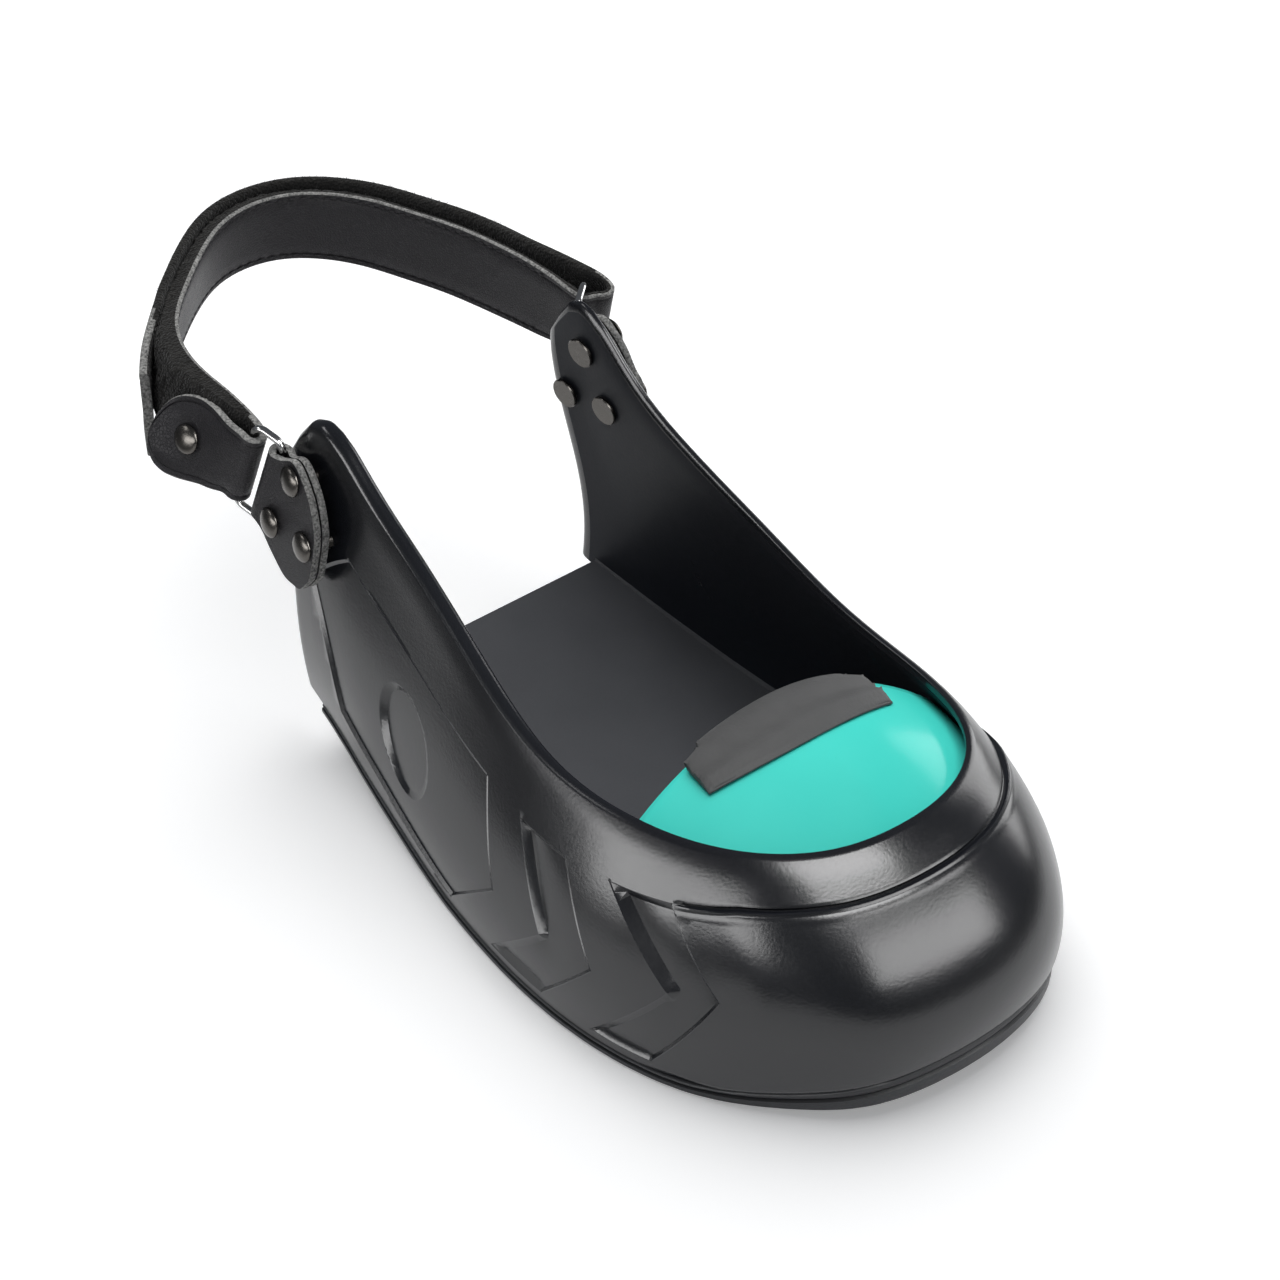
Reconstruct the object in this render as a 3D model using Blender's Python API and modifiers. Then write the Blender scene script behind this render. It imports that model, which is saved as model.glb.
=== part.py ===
import math

import bmesh
import bpy
import numpy as np
from mathutils import Matrix, Vector

# Right overshoe, empty, standing on its tread. Toe towards -Y, medial side +X, Z up.
# Sizes and tables are in millimetres, and "back" is the distance behind the toe tip.
OBJECT_NAME = "safety_toe_overshoe"
MM = 0.001
TOE_TO_ORIGIN = 95.0

SOLE_LENGTH = 190.0
# The tables' heights are over a level line; the floor lies under it and slopes up to the heel.
FLOOR_AT_TOE, FLOOR_SLOPE = -3.6, 0.030
TOE_SPRING, TOE_SPRING_RUN = 5.0, 42.0
ARCH_RISE, ARCH_START, ARCH_POWER = 11.0, 120.0, 1.35
LUG_DEPTH, LUG_GROOVE, LUG_SWEEP = 1.8, 1.3, 5.0
FOOTBED_HEIGHT = 8.0
FEATHER_HEIGHT, TOE_RAND, TOE_RAND_RUN = 3.5, 5.2, 45.0
FIT_GAP = 0.35

WALL = 3.5
PATTERN_LENGTH, PATTERN_HEIGHT = 250.0, 60.0
WALL_COLUMNS, WALL_LEVELS = 50, 8
WING_TIP_STATIONS = (0.95, 0.97, 0.98, 0.99)
RIM_ROUND = 1.2
RIB_HANDLE = 0.38

# One row per station from the toe (0) to the rear edge (1) of the wall, at its outer face.
OUTLINE_COLUMNS = (
    "station", "base_back", "base_lateral", "base_medial", "rim_back", "rim_lateral",
    "rim_medial", "rim_up_lateral", "rim_up_medial", "rim_slope", "base_flare",
)
OUTLINE_ROWS = (
    (0.000, 0.0, -3.0, 3.0, 27.0, -1.0, 1.0, 58.0, 58.0, 42, 13),
    (0.150, 4.5, 23.0, 26.6, 29.0, 14.5, 16.0, 58.2, 57.5, 43, 12),
    (0.300, 17.2, 39.4, 42.8, 35.5, 28.0, 29.0, 58.5, 57.0, 46, 11),
    (0.450, 38.5, 54.6, 54.0, 48.0, 39.8, 38.7, 58.8, 56.6, 52, 11),
    (0.600, 68.5, 63.2, 57.8, 70.0, 47.8, 43.9, 58.4, 56.2, 60, 10),
    (0.720, 98.5, 63.6, 56.0, 98.0, 49.6, 45.9, 59.8, 57.7, 68, 10),
    (0.820, 128.0, 59.8, 53.0, 128.0, 46.8, 46.2, 68.8, 66.3, 76, 10),
    (0.890, 150.5, 55.8, 50.4, 154.5, 43.3, 44.0, 79.0, 77.8, 82, 9),
    (0.940, 169.0, 52.3, 48.4, 175.0, 42.2, 41.8, 90.6, 92.4, 86, 8),
    (0.965, 179.0, 50.3, 47.3, 186.0, 42.3, 40.6, 98.2, 102.3, 88, 8),
    (0.980, 186.0, 49.2, 46.5, 193.5, 42.5, 40.6, 97.5, 101.5, 88, 8),
    (1.000, 196.5, 47.8, 45.4, 203.5, 43.0, 41.0, 84.0, 88.0, 88, 8),
)
# The rear edge slants: further back by this on the lateral side, less far on the medial side.
REAR_SKEW, REAR_SKEW_FROM = 1.5, 0.9

# Raised and sunk fields of the wall: corners as (station, share of wall height), both sides.
SIDE_PANEL = ((0.945, 0.71), (0.763, 0.74), (0.721, 0.345), (0.786, 0.055), (0.953, 0.12), (0.980, 0.49))
REAR_CHEVRON = ((0.711, 0.73), (0.647, 0.735), (0.579, 0.35), (0.648, 0.045), (0.722, 0.045), (0.651, 0.345))
FRONT_CHEVRON = ((0.583, 0.75), (0.492, 0.77), (0.409, 0.43), (0.498, 0.045), (0.576, 0.045), (0.476, 0.42))
TOE_LINE = ((0.489, 0.775), (0.390, 0.803), (0.200, 0.800), (0.000, 0.800))
TOE_REAR_EDGE = ((0.498, -0.2), (0.405, 0.43))
CIRCLE_CENTRE, CIRCLE_RADII, CIRCLE_SIDES = (0.866, 0.41), (0.035, 0.18), 16
PANEL_SINK, TOE_RAISE, CHEVRON_SINK, CIRCLE_SINK = -0.7, 1.0, -1.5, -1.0
PANEL_SHOULDER, TOE_SHOULDER, CHEVRON_SHOULDER, CIRCLE_SHOULDER = 0.9, 1.2, 1.6, 1.0

# Edge of the sole from the underside up: inset from the outline, and height over the lug faces,
# the foot of the wall or the level line with its toe spring and arch.
OVER_TREAD, OVER_FOOT, OVER_LEVEL = 0, 1, 2
SOLE_EDGE_COLUMNS = ("inset", "height", "over")
SOLE_EDGE_ROWS = (
    (1.4, LUG_DEPTH, OVER_TREAD),
    (0.2, LUG_DEPTH + 0.5, OVER_TREAD),
    (0.0, -FIT_GAP, OVER_FOOT),
    (WALL + FIT_GAP, -FIT_GAP, OVER_FOOT),
    (WALL + FIT_GAP, FOOTBED_HEIGHT, OVER_LEVEL),
)
SOLE_COLUMNS, SOLE_ROWS, SOLE_END_STATION = 7, 22, 0.986
LUG_FIRST_BACK, LUG_LAST_BACK = 6.0, 186.0

# Steel cap inside the toe box: shares of the wall's stations and heights, and the roof over them.
CAP_LATERAL, CAP_MEDIAL = 0.60, 0.565
CAP_FOOT, CAP_SHOULDER, CAP_TURN = 0.14, 0.86, 0.5
CAP_CROWN_FRONT, CAP_CROWN_REAR, CAP_TOP = 50.0, 72.5, 63.0
CAP_SIDE_FALL, CAP_FRONT_FALL, CAP_TILT = 0.0047, 0.00433, 0.03
CAP_STEEL, CAP_GAP = 1.8, 0.5
CAP_COLUMNS, CAP_LEVELS = 22, 10

# Rubber channel over the cap's rear edge: reach forward of the edge, turn round it, half length.
TRIM_COLUMNS = ("reach", "turn", "half_length")
TRIM_ROWS = (
    (15.5, 90, 30.0),
    (10.0, 90, 29.2),
    (5.0, 90, 28.5),
    (1.0, 90, 28.0),
    (0.0, 90, 23.5),
    (0.0, 30, 21.3),
    (0.0, -30, 21.3),
    (0.0, -90, 22.5),
    (5.0, -90, 24.0),
    (10.0, -90, 25.5),
)
TRIM_RUBBER, TRIM_GAP, TRIM_TAPER, TRIM_STEPS = 1.8, 0.5, 0.33, 10

# Wire rings: side of the shoe, centre of the bar in the tab, and swing of the ring away from the tab.
RING_COLUMNS = ("side", "back", "across", "up", "swing")
RING_ROWS = {"lateral": (-1, 204.5, -47.9, 77.0, 24.0), "medial": (1, 201.5, 45.6, 82.5, 58.0)}
WING_LEAN_ALONG, WING_LEAN_UP = 0.13, 0.11
RING_PITCH, RING_WIRE, RING_SPAN, RING_HALF_LENGTH, RING_CORNER = 19.0, 1.2, 9.1, 13.8, 3.0
BAR_GAP = 0.35

# Leather tabs folded round the rings: reach forward of the bar, and edges measured along it.
TAB_COLUMNS = ("reach", "low_lateral", "high_lateral", "low_medial", "high_medial")
TAB_ROWS = (
    (0.0, -10.8, 10.8, -10.8, 10.8),
    (3.0, -11.4, 11.4, -11.6, 11.4),
    (6.0, -13.2, 16.5, -15.0, 15.0),
    (12.0, -15.3, 16.0, -15.5, 15.0),
    (18.0, -16.0, 12.5, -15.0, 10.5),
    (22.0, -14.5, 8.0, -13.0, 6.0),
    (25.0, -11.5, 1.0, -10.0, 2.0),
    (26.2, -8.0, -5.0, -7.0, -3.0),
)
TAB_LEATHER, TAB_LAYER_GAP, TAB_PINCH = 1.9, 0.5, 6.0

# Heel strap, middle of its leather from the lateral ring round the heel to the medial ring.
# The leans say how far its upper edge goes sideways and back for each mm up.
STRAP_COLUMNS = ("back", "across", "up", "lean_across", "lean_back")
STRAP_ROWS = (
    (221.0, -48.8, 82.2, 0.22, -0.12),
    (232.0, -49.0, 83.0, 0.25, -0.10),
    (245.0, -47.8, 84.0, 0.20, -0.13),
    (260.0, -41.2, 84.8, 0.12, -0.17),
    (275.0, -28.2, 84.9, 0.10, -0.20),
    (289.0, -12.9, 84.9, 0.10, -0.20),
    (296.3, -1.5, 84.9, 0.10, -0.20),
    (298.7, 10.2, 84.9, 0.10, -0.20),
    (296.5, 19.9, 84.9, 0.10, -0.20),
    (289.3, 28.9, 84.9, 0.10, -0.20),
    (279.0, 35.5, 84.9, 0.10, -0.20),
    (266.0, 40.3, 84.9, 0.10, -0.20),
    (253.0, 44.4, 84.9, 0.10, -0.20),
    (238.0, 47.2, 85.0, 0.08, -0.21),
    (222.0, 48.6, 85.4, 0.02, -0.25),
)
STRAP_LEATHER, STRAP_PILE, STRAP_HALF_HEIGHT, STRAP_STEPS = 2.0, 1.2, 11.2, 30
# Loose turn round the medial ring, seen from above: forward of the bar, outward of it.
TURN_COLUMNS = ("forward", "outward")
TURN_ROWS = ((2.3, -1.7), (3.5, 0.8), (5.1, 3.4), (4.8, 5.6), (2.4, 6.5))
# The return lies this far outside the strap, and further where it leaves the loose turn.
RETURN_LIFT, RETURN_SLACK, RETURN_SLACK_RUN, RETURN_STEPS = 5.0, 4.1, 26.0, 26
# Free end of the strap: place along the strap from the lateral ring, extra lift, drop and lean.
END_COLUMNS = ("place", "lift", "drop", "lean_back")
END_ROWS = (
    (56.0, 0.0, 0.0, -0.16),
    (50.0, 0.7, 0.8, -0.10),
    (44.0, 1.7, 2.2, 0.00),
    (38.5, 3.0, 3.8, 0.10),
    (34.0, 4.4, 5.2, 0.18),
)
END_LEAN = 0.12
# Flap on the lateral side, middle of its leather from the free end to the ring; the rivet's row.
FLAP_COLUMNS = ("back", "across", "up", "lean_across", "lean_back", "half_height")
FLAP_ROWS = (
    (240.2, -59.6, 79.4, 0.42, 0.00, 4.5),
    (239.0, -58.8, 79.7, 0.42, 0.00, 8.5),
    (235.8, -57.2, 80.2, 0.41, 0.00, 11.0),
    (229.5, -55.2, 80.8, 0.38, -0.02, 11.4),
    (223.0, -54.1, 81.0, 0.30, -0.12, 11.0),
    (217.5, -53.7, 80.7, 0.20, -0.25, 10.7),
)
FLAP_RIVET_ROW = 3

# Rivets: back and up on each wing, and the parts of one rivet.
RIVET_COLUMNS = ("back", "up")
RIVET_ROWS = {
    "lateral": ((192.4, 84.5), (200.4, 68.7), (185.2, 70.0)),
    "medial": ((187.9, 90.0), (196.5, 72.8), (181.3, 74.7)),
}
RIVET_HEAD, RIVET_DOME, RIVET_DISC, RIVET_DISC_THICK, RIVET_SHANK = 4.0, 1.7, 4.2, 0.8, 2.0
RIVET_HOLE, RIVET_SIDES, RIVET_GAP, FLAP_RIVET_GAP = 2.35, 12, 0.3, 0.75

RUBBER = ((0.018, 0.019, 0.022, 1.0), 0.35, 0.0)
PAINTED_STEEL = ((0.077, 0.658, 0.565, 1.0), 0.22, 0.0)
TRIM_LOOK = ((0.035, 0.037, 0.040, 1.0), 0.6, 0.0)
LEATHER = ((0.020, 0.020, 0.021, 1.0), 0.5, 0.0)
BRIGHT_STEEL = ((0.75, 0.75, 0.74, 1.0), 0.2, 1.0)
DARK_STEEL = ((0.23, 0.22, 0.21, 1.0), 0.3, 1.0)


def column(name):
    return np.array([row[OUTLINE_COLUMNS.index(name)] for row in OUTLINE_ROWS], float)


def spline(knots, values):
    # natural cubic curve through the rows
    knots, values = np.asarray(knots, float), np.asarray(values, float)
    count, gaps = len(knots), np.diff(knots)
    matrix, right = np.eye(count), np.zeros(count)
    for i in range(1, count - 1):
        matrix[i, i - 1 : i + 2] = gaps[i - 1], 2 * (gaps[i - 1] + gaps[i]), gaps[i]
        slope_after = (values[i + 1] - values[i]) / gaps[i]
        right[i] = 6 * (slope_after - (values[i] - values[i - 1]) / gaps[i - 1])
    bend = np.linalg.solve(matrix, right)

    def curve(x):
        x = np.asarray(x, float)
        i = np.clip(np.searchsorted(knots, x) - 1, 0, count - 2)
        left, span, after = x - knots[i], gaps[i], knots[i + 1] - x
        cubic = (bend[i] * after**3 + bend[i + 1] * left**3) / (6 * span)
        start = (values[i] / span - bend[i] * span / 6) * after
        return cubic + start + (values[i + 1] / span - bend[i + 1] * span / 6) * left

    return curve


def both_sides(lateral, medial, sign):
    # the lateral side has negative stations
    stations = column("station")
    mirrored = sign * column(lateral)[:0:-1]
    knots = np.concatenate([-stations[:0:-1], stations])
    return spline(knots, np.concatenate([mirrored, column(medial)]))


base_across = both_sides("base_lateral", "base_medial", -1)
even_base_back = both_sides("base_back", "base_back", 1)
rim_across = both_sides("rim_lateral", "rim_medial", -1)
even_rim_back = both_sides("rim_back", "rim_back", 1)
rim_up = both_sides("rim_up_lateral", "rim_up_medial", 1)
rim_slope = both_sides("rim_slope", "rim_slope", 1)
base_flare = both_sides("base_flare", "base_flare", 1)


def rear_skew(station):
    return -REAR_SKEW * np.sign(station) * np.clip((np.abs(station) - REAR_SKEW_FROM) / (1 - REAR_SKEW_FROM), 0, 1)


def base_back(station):
    return even_base_back(station) + rear_skew(station)


def rim_back(station):
    return even_rim_back(station) + rear_skew(station)


def bent_level(back):
    # the level line with the toe spring and the arch
    toe = np.clip(1 - back / TOE_SPRING_RUN, 0, 1) ** 2 * TOE_SPRING
    run = np.clip((back - ARCH_START) / (SOLE_LENGTH - ARCH_START), 0, None)
    return toe + run**ARCH_POWER * ARCH_RISE


def floor_height(back):
    return FLOOR_AT_TOE + FLOOR_SLOPE * back


def underside(back):
    # height of the tread
    return bent_level(back) + floor_height(back)


def wall_foot(back):
    # height of the foot of the wall, over a rand that thickens at the toe
    return underside(back) + FEATHER_HEIGHT + TOE_RAND * np.clip(1 - back / TOE_RAND_RUN, 0, 1) ** 1.5


def points(across, back, up):
    return np.stack([across, back - TOE_TO_ORIGIN, up], -1)


def outline_inward(station):
    # unit vector across the base outline, pointing into the shoe
    step = 1e-3
    along_x = base_across(station + step) - base_across(station - step)
    along_y = base_back(station + step) - base_back(station - step)
    inward = np.stack([-along_y, along_x, 0 * along_x], -1)
    return inward / np.linalg.norm(inward, axis=-1, keepdims=True)


def rib(station, height):
    # outer face of the wall: a cubic arc from the base outline to the rim
    back = np.maximum(base_back(station), 0)
    base = points(base_across(station), back, wall_foot(back))
    rim = points(rim_across(station), rim_back(station), rim_up(station))
    inward, up = outline_inward(station), np.array([0.0, 0.0, 1.0])
    handle = RIB_HANDLE * np.linalg.norm(rim - base, axis=-1, keepdims=True)
    flare = np.radians(base_flare(station))[..., None]
    slope = np.radians(rim_slope(station))[..., None]
    first = base + handle * (up * np.cos(flare) - inward * np.sin(flare))
    second = rim - handle * (up * np.sin(slope) + inward * np.cos(slope))
    h = np.asarray(height)[..., None]
    return (1 - h) ** 3 * base + 3 * (1 - h) ** 2 * h * first + 3 * (1 - h) * h * h * second + h**3 * rim


def wall_normal(station, height):
    step = 1e-3
    level = np.clip(height, step, 1 - step)
    along = rib(station + step, height) - rib(station - step, height)
    rise = rib(station, level + step) - rib(station, level - step)
    normal = np.cross(along, rise)
    return normal / np.linalg.norm(normal, axis=-1, keepdims=True)


def wall(station, height, offset):
    offset = np.asarray(offset, float)
    return rib(station, height) + wall_normal(station, height) * offset[..., None]


# turns and lifts the pieces so that the floor lies level at height 0
settled = Matrix.Rotation(-math.atan(FLOOR_SLOPE), 4, "X")
settled @= Matrix.Translation((0, 0, -floor_height(TOE_TO_ORIGIN)))


def pattern(corners):
    # corners on the flat pattern of the wall
    return [np.array((station * PATTERN_LENGTH, share * PATTERN_HEIGHT)) for station, share in corners]


def mirrored(corners):
    return [(-station, share) for station, share in reversed(corners)]


def circle_corners():
    angles = [2 * math.pi * i / CIRCLE_SIDES for i in range(CIRCLE_SIDES)]
    (station, share), (wide, tall) = CIRCLE_CENTRE, CIRCLE_RADII
    return [(station + wide * math.cos(a), share + tall * math.sin(a)) for a in angles]


def toe_corners():
    left = [(-station, share) for station, share in TOE_LINE]
    top = left + [(station, share) for station, share in reversed(TOE_LINE[:-1])]
    right = [TOE_REAR_EDGE[1], TOE_REAR_EDGE[0]]
    return top + right + [(-station, share) for station, share in TOE_REAR_EDGE]


def wall_fields():
    # (corners on the pattern, relief, shoulder width)
    fields = [(pattern(toe_corners()), TOE_RAISE, TOE_SHOULDER)]
    sides = (
        (SIDE_PANEL, PANEL_SINK, PANEL_SHOULDER),
        (REAR_CHEVRON, CHEVRON_SINK, CHEVRON_SHOULDER),
        (FRONT_CHEVRON, CHEVRON_SINK, CHEVRON_SHOULDER),
        (circle_corners(), CIRCLE_SINK, CIRCLE_SHOULDER),
    )
    for corners, relief, shoulder in sides:
        fields.append((pattern(corners), relief, shoulder))
        fields.append((pattern(mirrored(corners)), relief, shoulder))
    return fields


def edges_of(corners):
    return list(zip(corners, corners[1:] + corners[:1]))


def inside_distance(corners, spots):
    # distance to the outline, positive inside it
    nearest = np.full(len(spots), 1e9)
    inside = np.zeros(len(spots), bool)
    for start, end in edges_of(corners):
        run = end - start
        share = np.clip((spots - start) @ run / (run @ run), 0, 1)
        nearest = np.minimum(nearest, np.linalg.norm(spots - start - share[:, None] * run, axis=1))
        spans = (start[1] > spots[:, 1]) != (end[1] > spots[:, 1])
        rise = end[1] - start[1] if end[1] != start[1] else 1e-9
        crossing = start[0] + (spots[:, 1] - start[1]) / rise * run[0]
        inside ^= spans & (spots[:, 0] < crossing)
    return np.where(inside, nearest, -nearest)


def relief_at(fields, spots):
    total = np.zeros(len(spots))
    for corners, relief, shoulder in fields:
        total += relief * np.clip(inside_distance(corners, spots) / shoulder, 0, 1)
    return total


def cut_along(sheet, start, end, reach):
    # splits the sheet's faces along one edge of a field
    low, high = np.minimum(start, end) - reach, np.maximum(start, end) + reach
    faces = []
    for face in sheet.faces:
        spots = np.array([vert.co.xy for vert in face.verts])
        if (spots.max(0) > low).all() and (spots.min(0) < high).all():
            faces.append(face)
    geometry = set(faces)
    for face in faces:
        geometry.update(face.edges, face.verts)
    run = end - start
    normal = Vector((-run[1], run[0], 0)).normalized()
    bmesh.ops.bisect_plane(
        sheet, geom=list(geometry), dist=0.02, plane_co=Vector((*start, 0)), plane_no=normal
    )


def cut_field(sheet, corners, shoulder):
    for start, end in edges_of(corners):
        run = (end - start) / np.linalg.norm(end - start)
        inward = np.array((-run[1], run[0]))
        middle = (start + end) / 2 + inward * 0.01
        if inside_distance(corners, middle[None])[0] < 0:
            inward = -inward
        cut_along(sheet, start, end, 0.05)
        cut_along(sheet, start + inward * shoulder, end + inward * shoulder, 0.05)


def flat_sheet(columns, rows, wide, tall):
    # flat grid over -wide..wide and 0..tall
    sheet = bmesh.new()
    bmesh.ops.create_grid(sheet, x_segments=columns, y_segments=rows, size=1.0)
    for vert in sheet.verts:
        vert.co = (vert.co.x * wide, (vert.co.y + 1) / 2 * tall, 0)
    return sheet


def flat_slab(columns, rows, wide, tall, thickness, fields=(), extra=()):
    # flat sheet cut along the fields and made solid below, where it stays plain
    sheet = flat_sheet(columns, rows, wide, tall)
    for station in extra:
        for side in (-1, 1):
            bottom = np.array((side * station * wide, 0))
            cut_along(sheet, bottom, bottom + (0, tall), 0.05)
    for corners, _, shoulder in fields:
        cut_field(sheet, corners, shoulder)
    bmesh.ops.solidify(sheet, geom=sheet.faces[:], thickness=thickness)
    for vert in sheet.verts:
        vert.co.z = -abs(vert.co.z)
    slanting = []
    for edge in sheet.edges:
        run = edge.verts[1].co - edge.verts[0].co
        if edge.verts[0].co.z < -1e-3 and abs(run.z) < 1e-3 and abs(run.x) > 1e-3 and abs(run.y) > 1e-3:
            slanting.append(edge)
    bmesh.ops.dissolve_edges(sheet, edges=slanting, use_verts=True)
    return sheet


def corner_edges(sheet, on_border):
    # edges that run along both faces of a border
    found = []
    for edge in sheet.edges:
        first, second = edge.verts
        if on_border(first.co) and on_border(second.co) and abs(first.co.z - second.co.z) < 1e-3:
            found.append(edge)
    return found


def place_all(sheet, place):
    # moves each vertex of a flat slab to where the piece's own function puts it
    flat = np.array([vert.co[:] for vert in sheet.verts], float)
    for vert, spot in zip(sheet.verts, place(flat[:, 0], flat[:, 1], flat[:, 2])):
        vert.co = spot


def material(name, colour, roughness, metallic):
    made = bpy.data.materials.new(name)
    made.use_nodes = True
    shader = made.node_tree.nodes["Principled BSDF"]
    shader.inputs["Base Color"].default_value = colour
    shader.inputs["Roughness"].default_value = roughness
    shader.inputs["Metallic"].default_value = metallic
    return made


def finish(name, sheet, look):
    # one named object in metres from a piece built in millimetres
    bmesh.ops.remove_doubles(sheet, verts=sheet.verts[:], dist=0.002)
    bmesh.ops.dissolve_degenerate(sheet, dist=0.001, edges=sheet.edges[:])
    bmesh.ops.recalc_face_normals(sheet, faces=sheet.faces[:])
    bmesh.ops.triangulate(sheet, faces=[face for face in sheet.faces if len(face.verts) > 4])
    bmesh.ops.transform(sheet, matrix=settled, verts=sheet.verts[:])
    bmesh.ops.scale(sheet, vec=(MM, MM, MM), verts=sheet.verts[:])
    mesh = bpy.data.meshes.new(name)
    sheet.to_mesh(mesh)
    sheet.free()
    piece = bpy.data.objects.new(name, mesh)
    mesh.materials.append(material(name, *look))
    pieces.objects.link(piece)
    return piece


def build_upper():
    fields = wall_fields()
    size = (PATTERN_LENGTH, PATTERN_HEIGHT, WALL)
    sheet = flat_slab(WALL_COLUMNS, WALL_LEVELS, *size, fields, WING_TIP_STATIONS)

    def rim(spot):
        return spot.y > PATTERN_HEIGHT - 1e-3 or abs(spot.x) > PATTERN_LENGTH - 1e-3

    bmesh.ops.bevel(
        sheet, geom=corner_edges(sheet, rim), offset=RIM_ROUND, segments=2, profile=0.5, affect="EDGES"
    )

    def place(along, up, depth):
        relief = relief_at(fields, np.stack([along, up], -1))
        share = np.clip(1 + depth / WALL, 0, 1)
        return wall(along / PATTERN_LENGTH, up / PATTERN_HEIGHT, depth + relief * share)

    place_all(sheet, place)
    return finish("upper", sheet, RUBBER)


def build_outsole():
    last = len(SOLE_EDGE_ROWS) - 1
    sheet = flat_slab(SOLE_COLUMNS, SOLE_ROWS, 1.0, 1.0, last)
    for level in range(1, last):
        whole = sheet.verts[:] + sheet.edges[:] + sheet.faces[:]
        bmesh.ops.bisect_plane(sheet, geom=whole, dist=1e-4, plane_co=(0, 0, -level), plane_no=(0, 0, 1))
    insets = [row[SOLE_EDGE_COLUMNS.index("inset")] for row in SOLE_EDGE_ROWS]
    heights = [row[SOLE_EDGE_COLUMNS.index("height")] for row in SOLE_EDGE_ROWS]
    overs = [row[SOLE_EDGE_COLUMNS.index("over")] for row in SOLE_EDGE_ROWS]

    def height_at(back, level):
        over = np.array(overs)[level]
        ground = np.where(over == OVER_FOOT, wall_foot(back), underside(back))
        return np.where(over == OVER_LEVEL, bent_level(back), ground) + np.array(heights)[level]

    def place(across, along, depth):
        level = np.rint(-depth).astype(int)
        station = along * SOLE_END_STATION
        border = np.maximum(even_base_back(station), 0)
        rise = np.clip(height_at(border, level) - wall_foot(border), 0, None)
        inset = np.array(insets)[level] - 0.5 * np.tan(np.radians(base_flare(station))) * rise
        ends = []
        for side in (-1, 1):
            edge = np.stack([base_across(side * station), border], -1)
            ends.append(edge + outline_inward(side * station)[:, :2] * inset[:, None])
        share = ((across + 1) / 2)[:, None]
        plan = ends[0] * (1 - share) + ends[1] * share
        sweep = LUG_SWEEP * (1 - np.abs(across)) * np.sin(math.pi * along) * (level == 0)
        back = plan[:, 1] + sweep
        return points(plan[:, 0], back, height_at(back, level))

    place_all(sheet, place)
    bmesh.ops.remove_doubles(sheet, verts=sheet.verts[:], dist=0.002)
    bmesh.ops.recalc_face_normals(sheet, faces=sheet.faces[:])
    lugs = []
    for face in sheet.faces:
        back = face.calc_center_median().y + TOE_TO_ORIGIN
        if face.normal.z < -0.8 and LUG_FIRST_BACK < back < LUG_LAST_BACK and face.calc_area() > 25:
            lugs.append(face)
    bmesh.ops.inset_individual(
        sheet, faces=lugs, thickness=LUG_GROOVE, depth=LUG_DEPTH, use_even_offset=True
    )
    return finish("outsole", sheet, RUBBER)


def cap_roof(across, back):
    fall = CAP_SIDE_FALL * across**2 + CAP_FRONT_FALL * (CAP_CROWN_REAR - back) ** 2
    return CAP_TOP - fall - CAP_TILT * across


def cap_shoulder(side, share=1.0):
    # line up the inside of the wall, from the foot of the cap to where its roof starts
    station = side * np.where(side < 0, CAP_LATERAL, CAP_MEDIAL)
    height = CAP_FOOT + (CAP_SHOULDER - CAP_FOOT) * np.broadcast_to(share, station.shape)
    return wall(station, height, np.full(station.shape, -WALL - CAP_GAP))


def cap_drop(side):
    # how far the shoulder lies below the roof's own curve
    shoulder = cap_shoulder(side)
    return cap_roof(shoulder[..., 0], shoulder[..., 1] + TOE_TO_ORIGIN) - shoulder[..., 2]


def build_toe_cap():
    sheet = flat_sheet(CAP_COLUMNS, CAP_LEVELS, 1.0, 1.0)

    def place(side, rise, _):
        low = cap_shoulder(side, np.clip(rise / CAP_TURN, 0, 1))
        left = 1 - np.clip((rise - CAP_TURN) / (1 - CAP_TURN), 0, 1)
        crown = CAP_CROWN_FRONT + (CAP_CROWN_REAR - CAP_CROWN_FRONT) * np.abs(side)
        across = low[:, 0] * left
        back = crown + (low[:, 1] + TOE_TO_ORIGIN - crown) * left**2
        roof = cap_roof(across, back) - cap_drop(side) * left**3
        return points(across, back, np.where(left < 1, roof, low[:, 2]))

    place_all(sheet, place)
    piece = finish("toe_cap", sheet, PAINTED_STEEL)
    shell = piece.modifiers.new("steel", "SOLIDIFY")
    shell.thickness, shell.offset, shell.use_even_offset = CAP_STEEL * MM, -1, True
    return piece


def build_cap_trim():
    reach, turn, half_length = (np.array(values, float) for values in zip(*TRIM_ROWS))
    sheet = flat_slab(TRIM_STEPS, len(TRIM_ROWS) - 1, 1.0, len(TRIM_ROWS) - 1, 1.0)
    bend = CAP_STEEL / 2 + TRIM_GAP + TRIM_RUBBER

    def place(along, row, depth):
        row = np.rint(row).astype(int)
        across, inward = along * half_length[row], reach[row] * (1 - TRIM_TAPER * along**2)
        side = np.where(across < 0, -1.0, 1.0)
        corner = cap_shoulder(side)
        share = across / corner[:, 0]
        edge = CAP_CROWN_REAR + (corner[:, 1] + TOE_TO_ORIGIN - CAP_CROWN_REAR) * share**2
        steel = cap_roof(across, edge - inward) - cap_drop(side) * share**3 - CAP_STEEL / 2
        radius, angle = bend + depth * TRIM_RUBBER, np.radians(turn[row])
        return points(across, edge - inward + radius * np.cos(angle), steel + radius * np.sin(angle))

    place_all(sheet, place)
    return finish("cap_trim", sheet, TRIM_LOOK)


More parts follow.
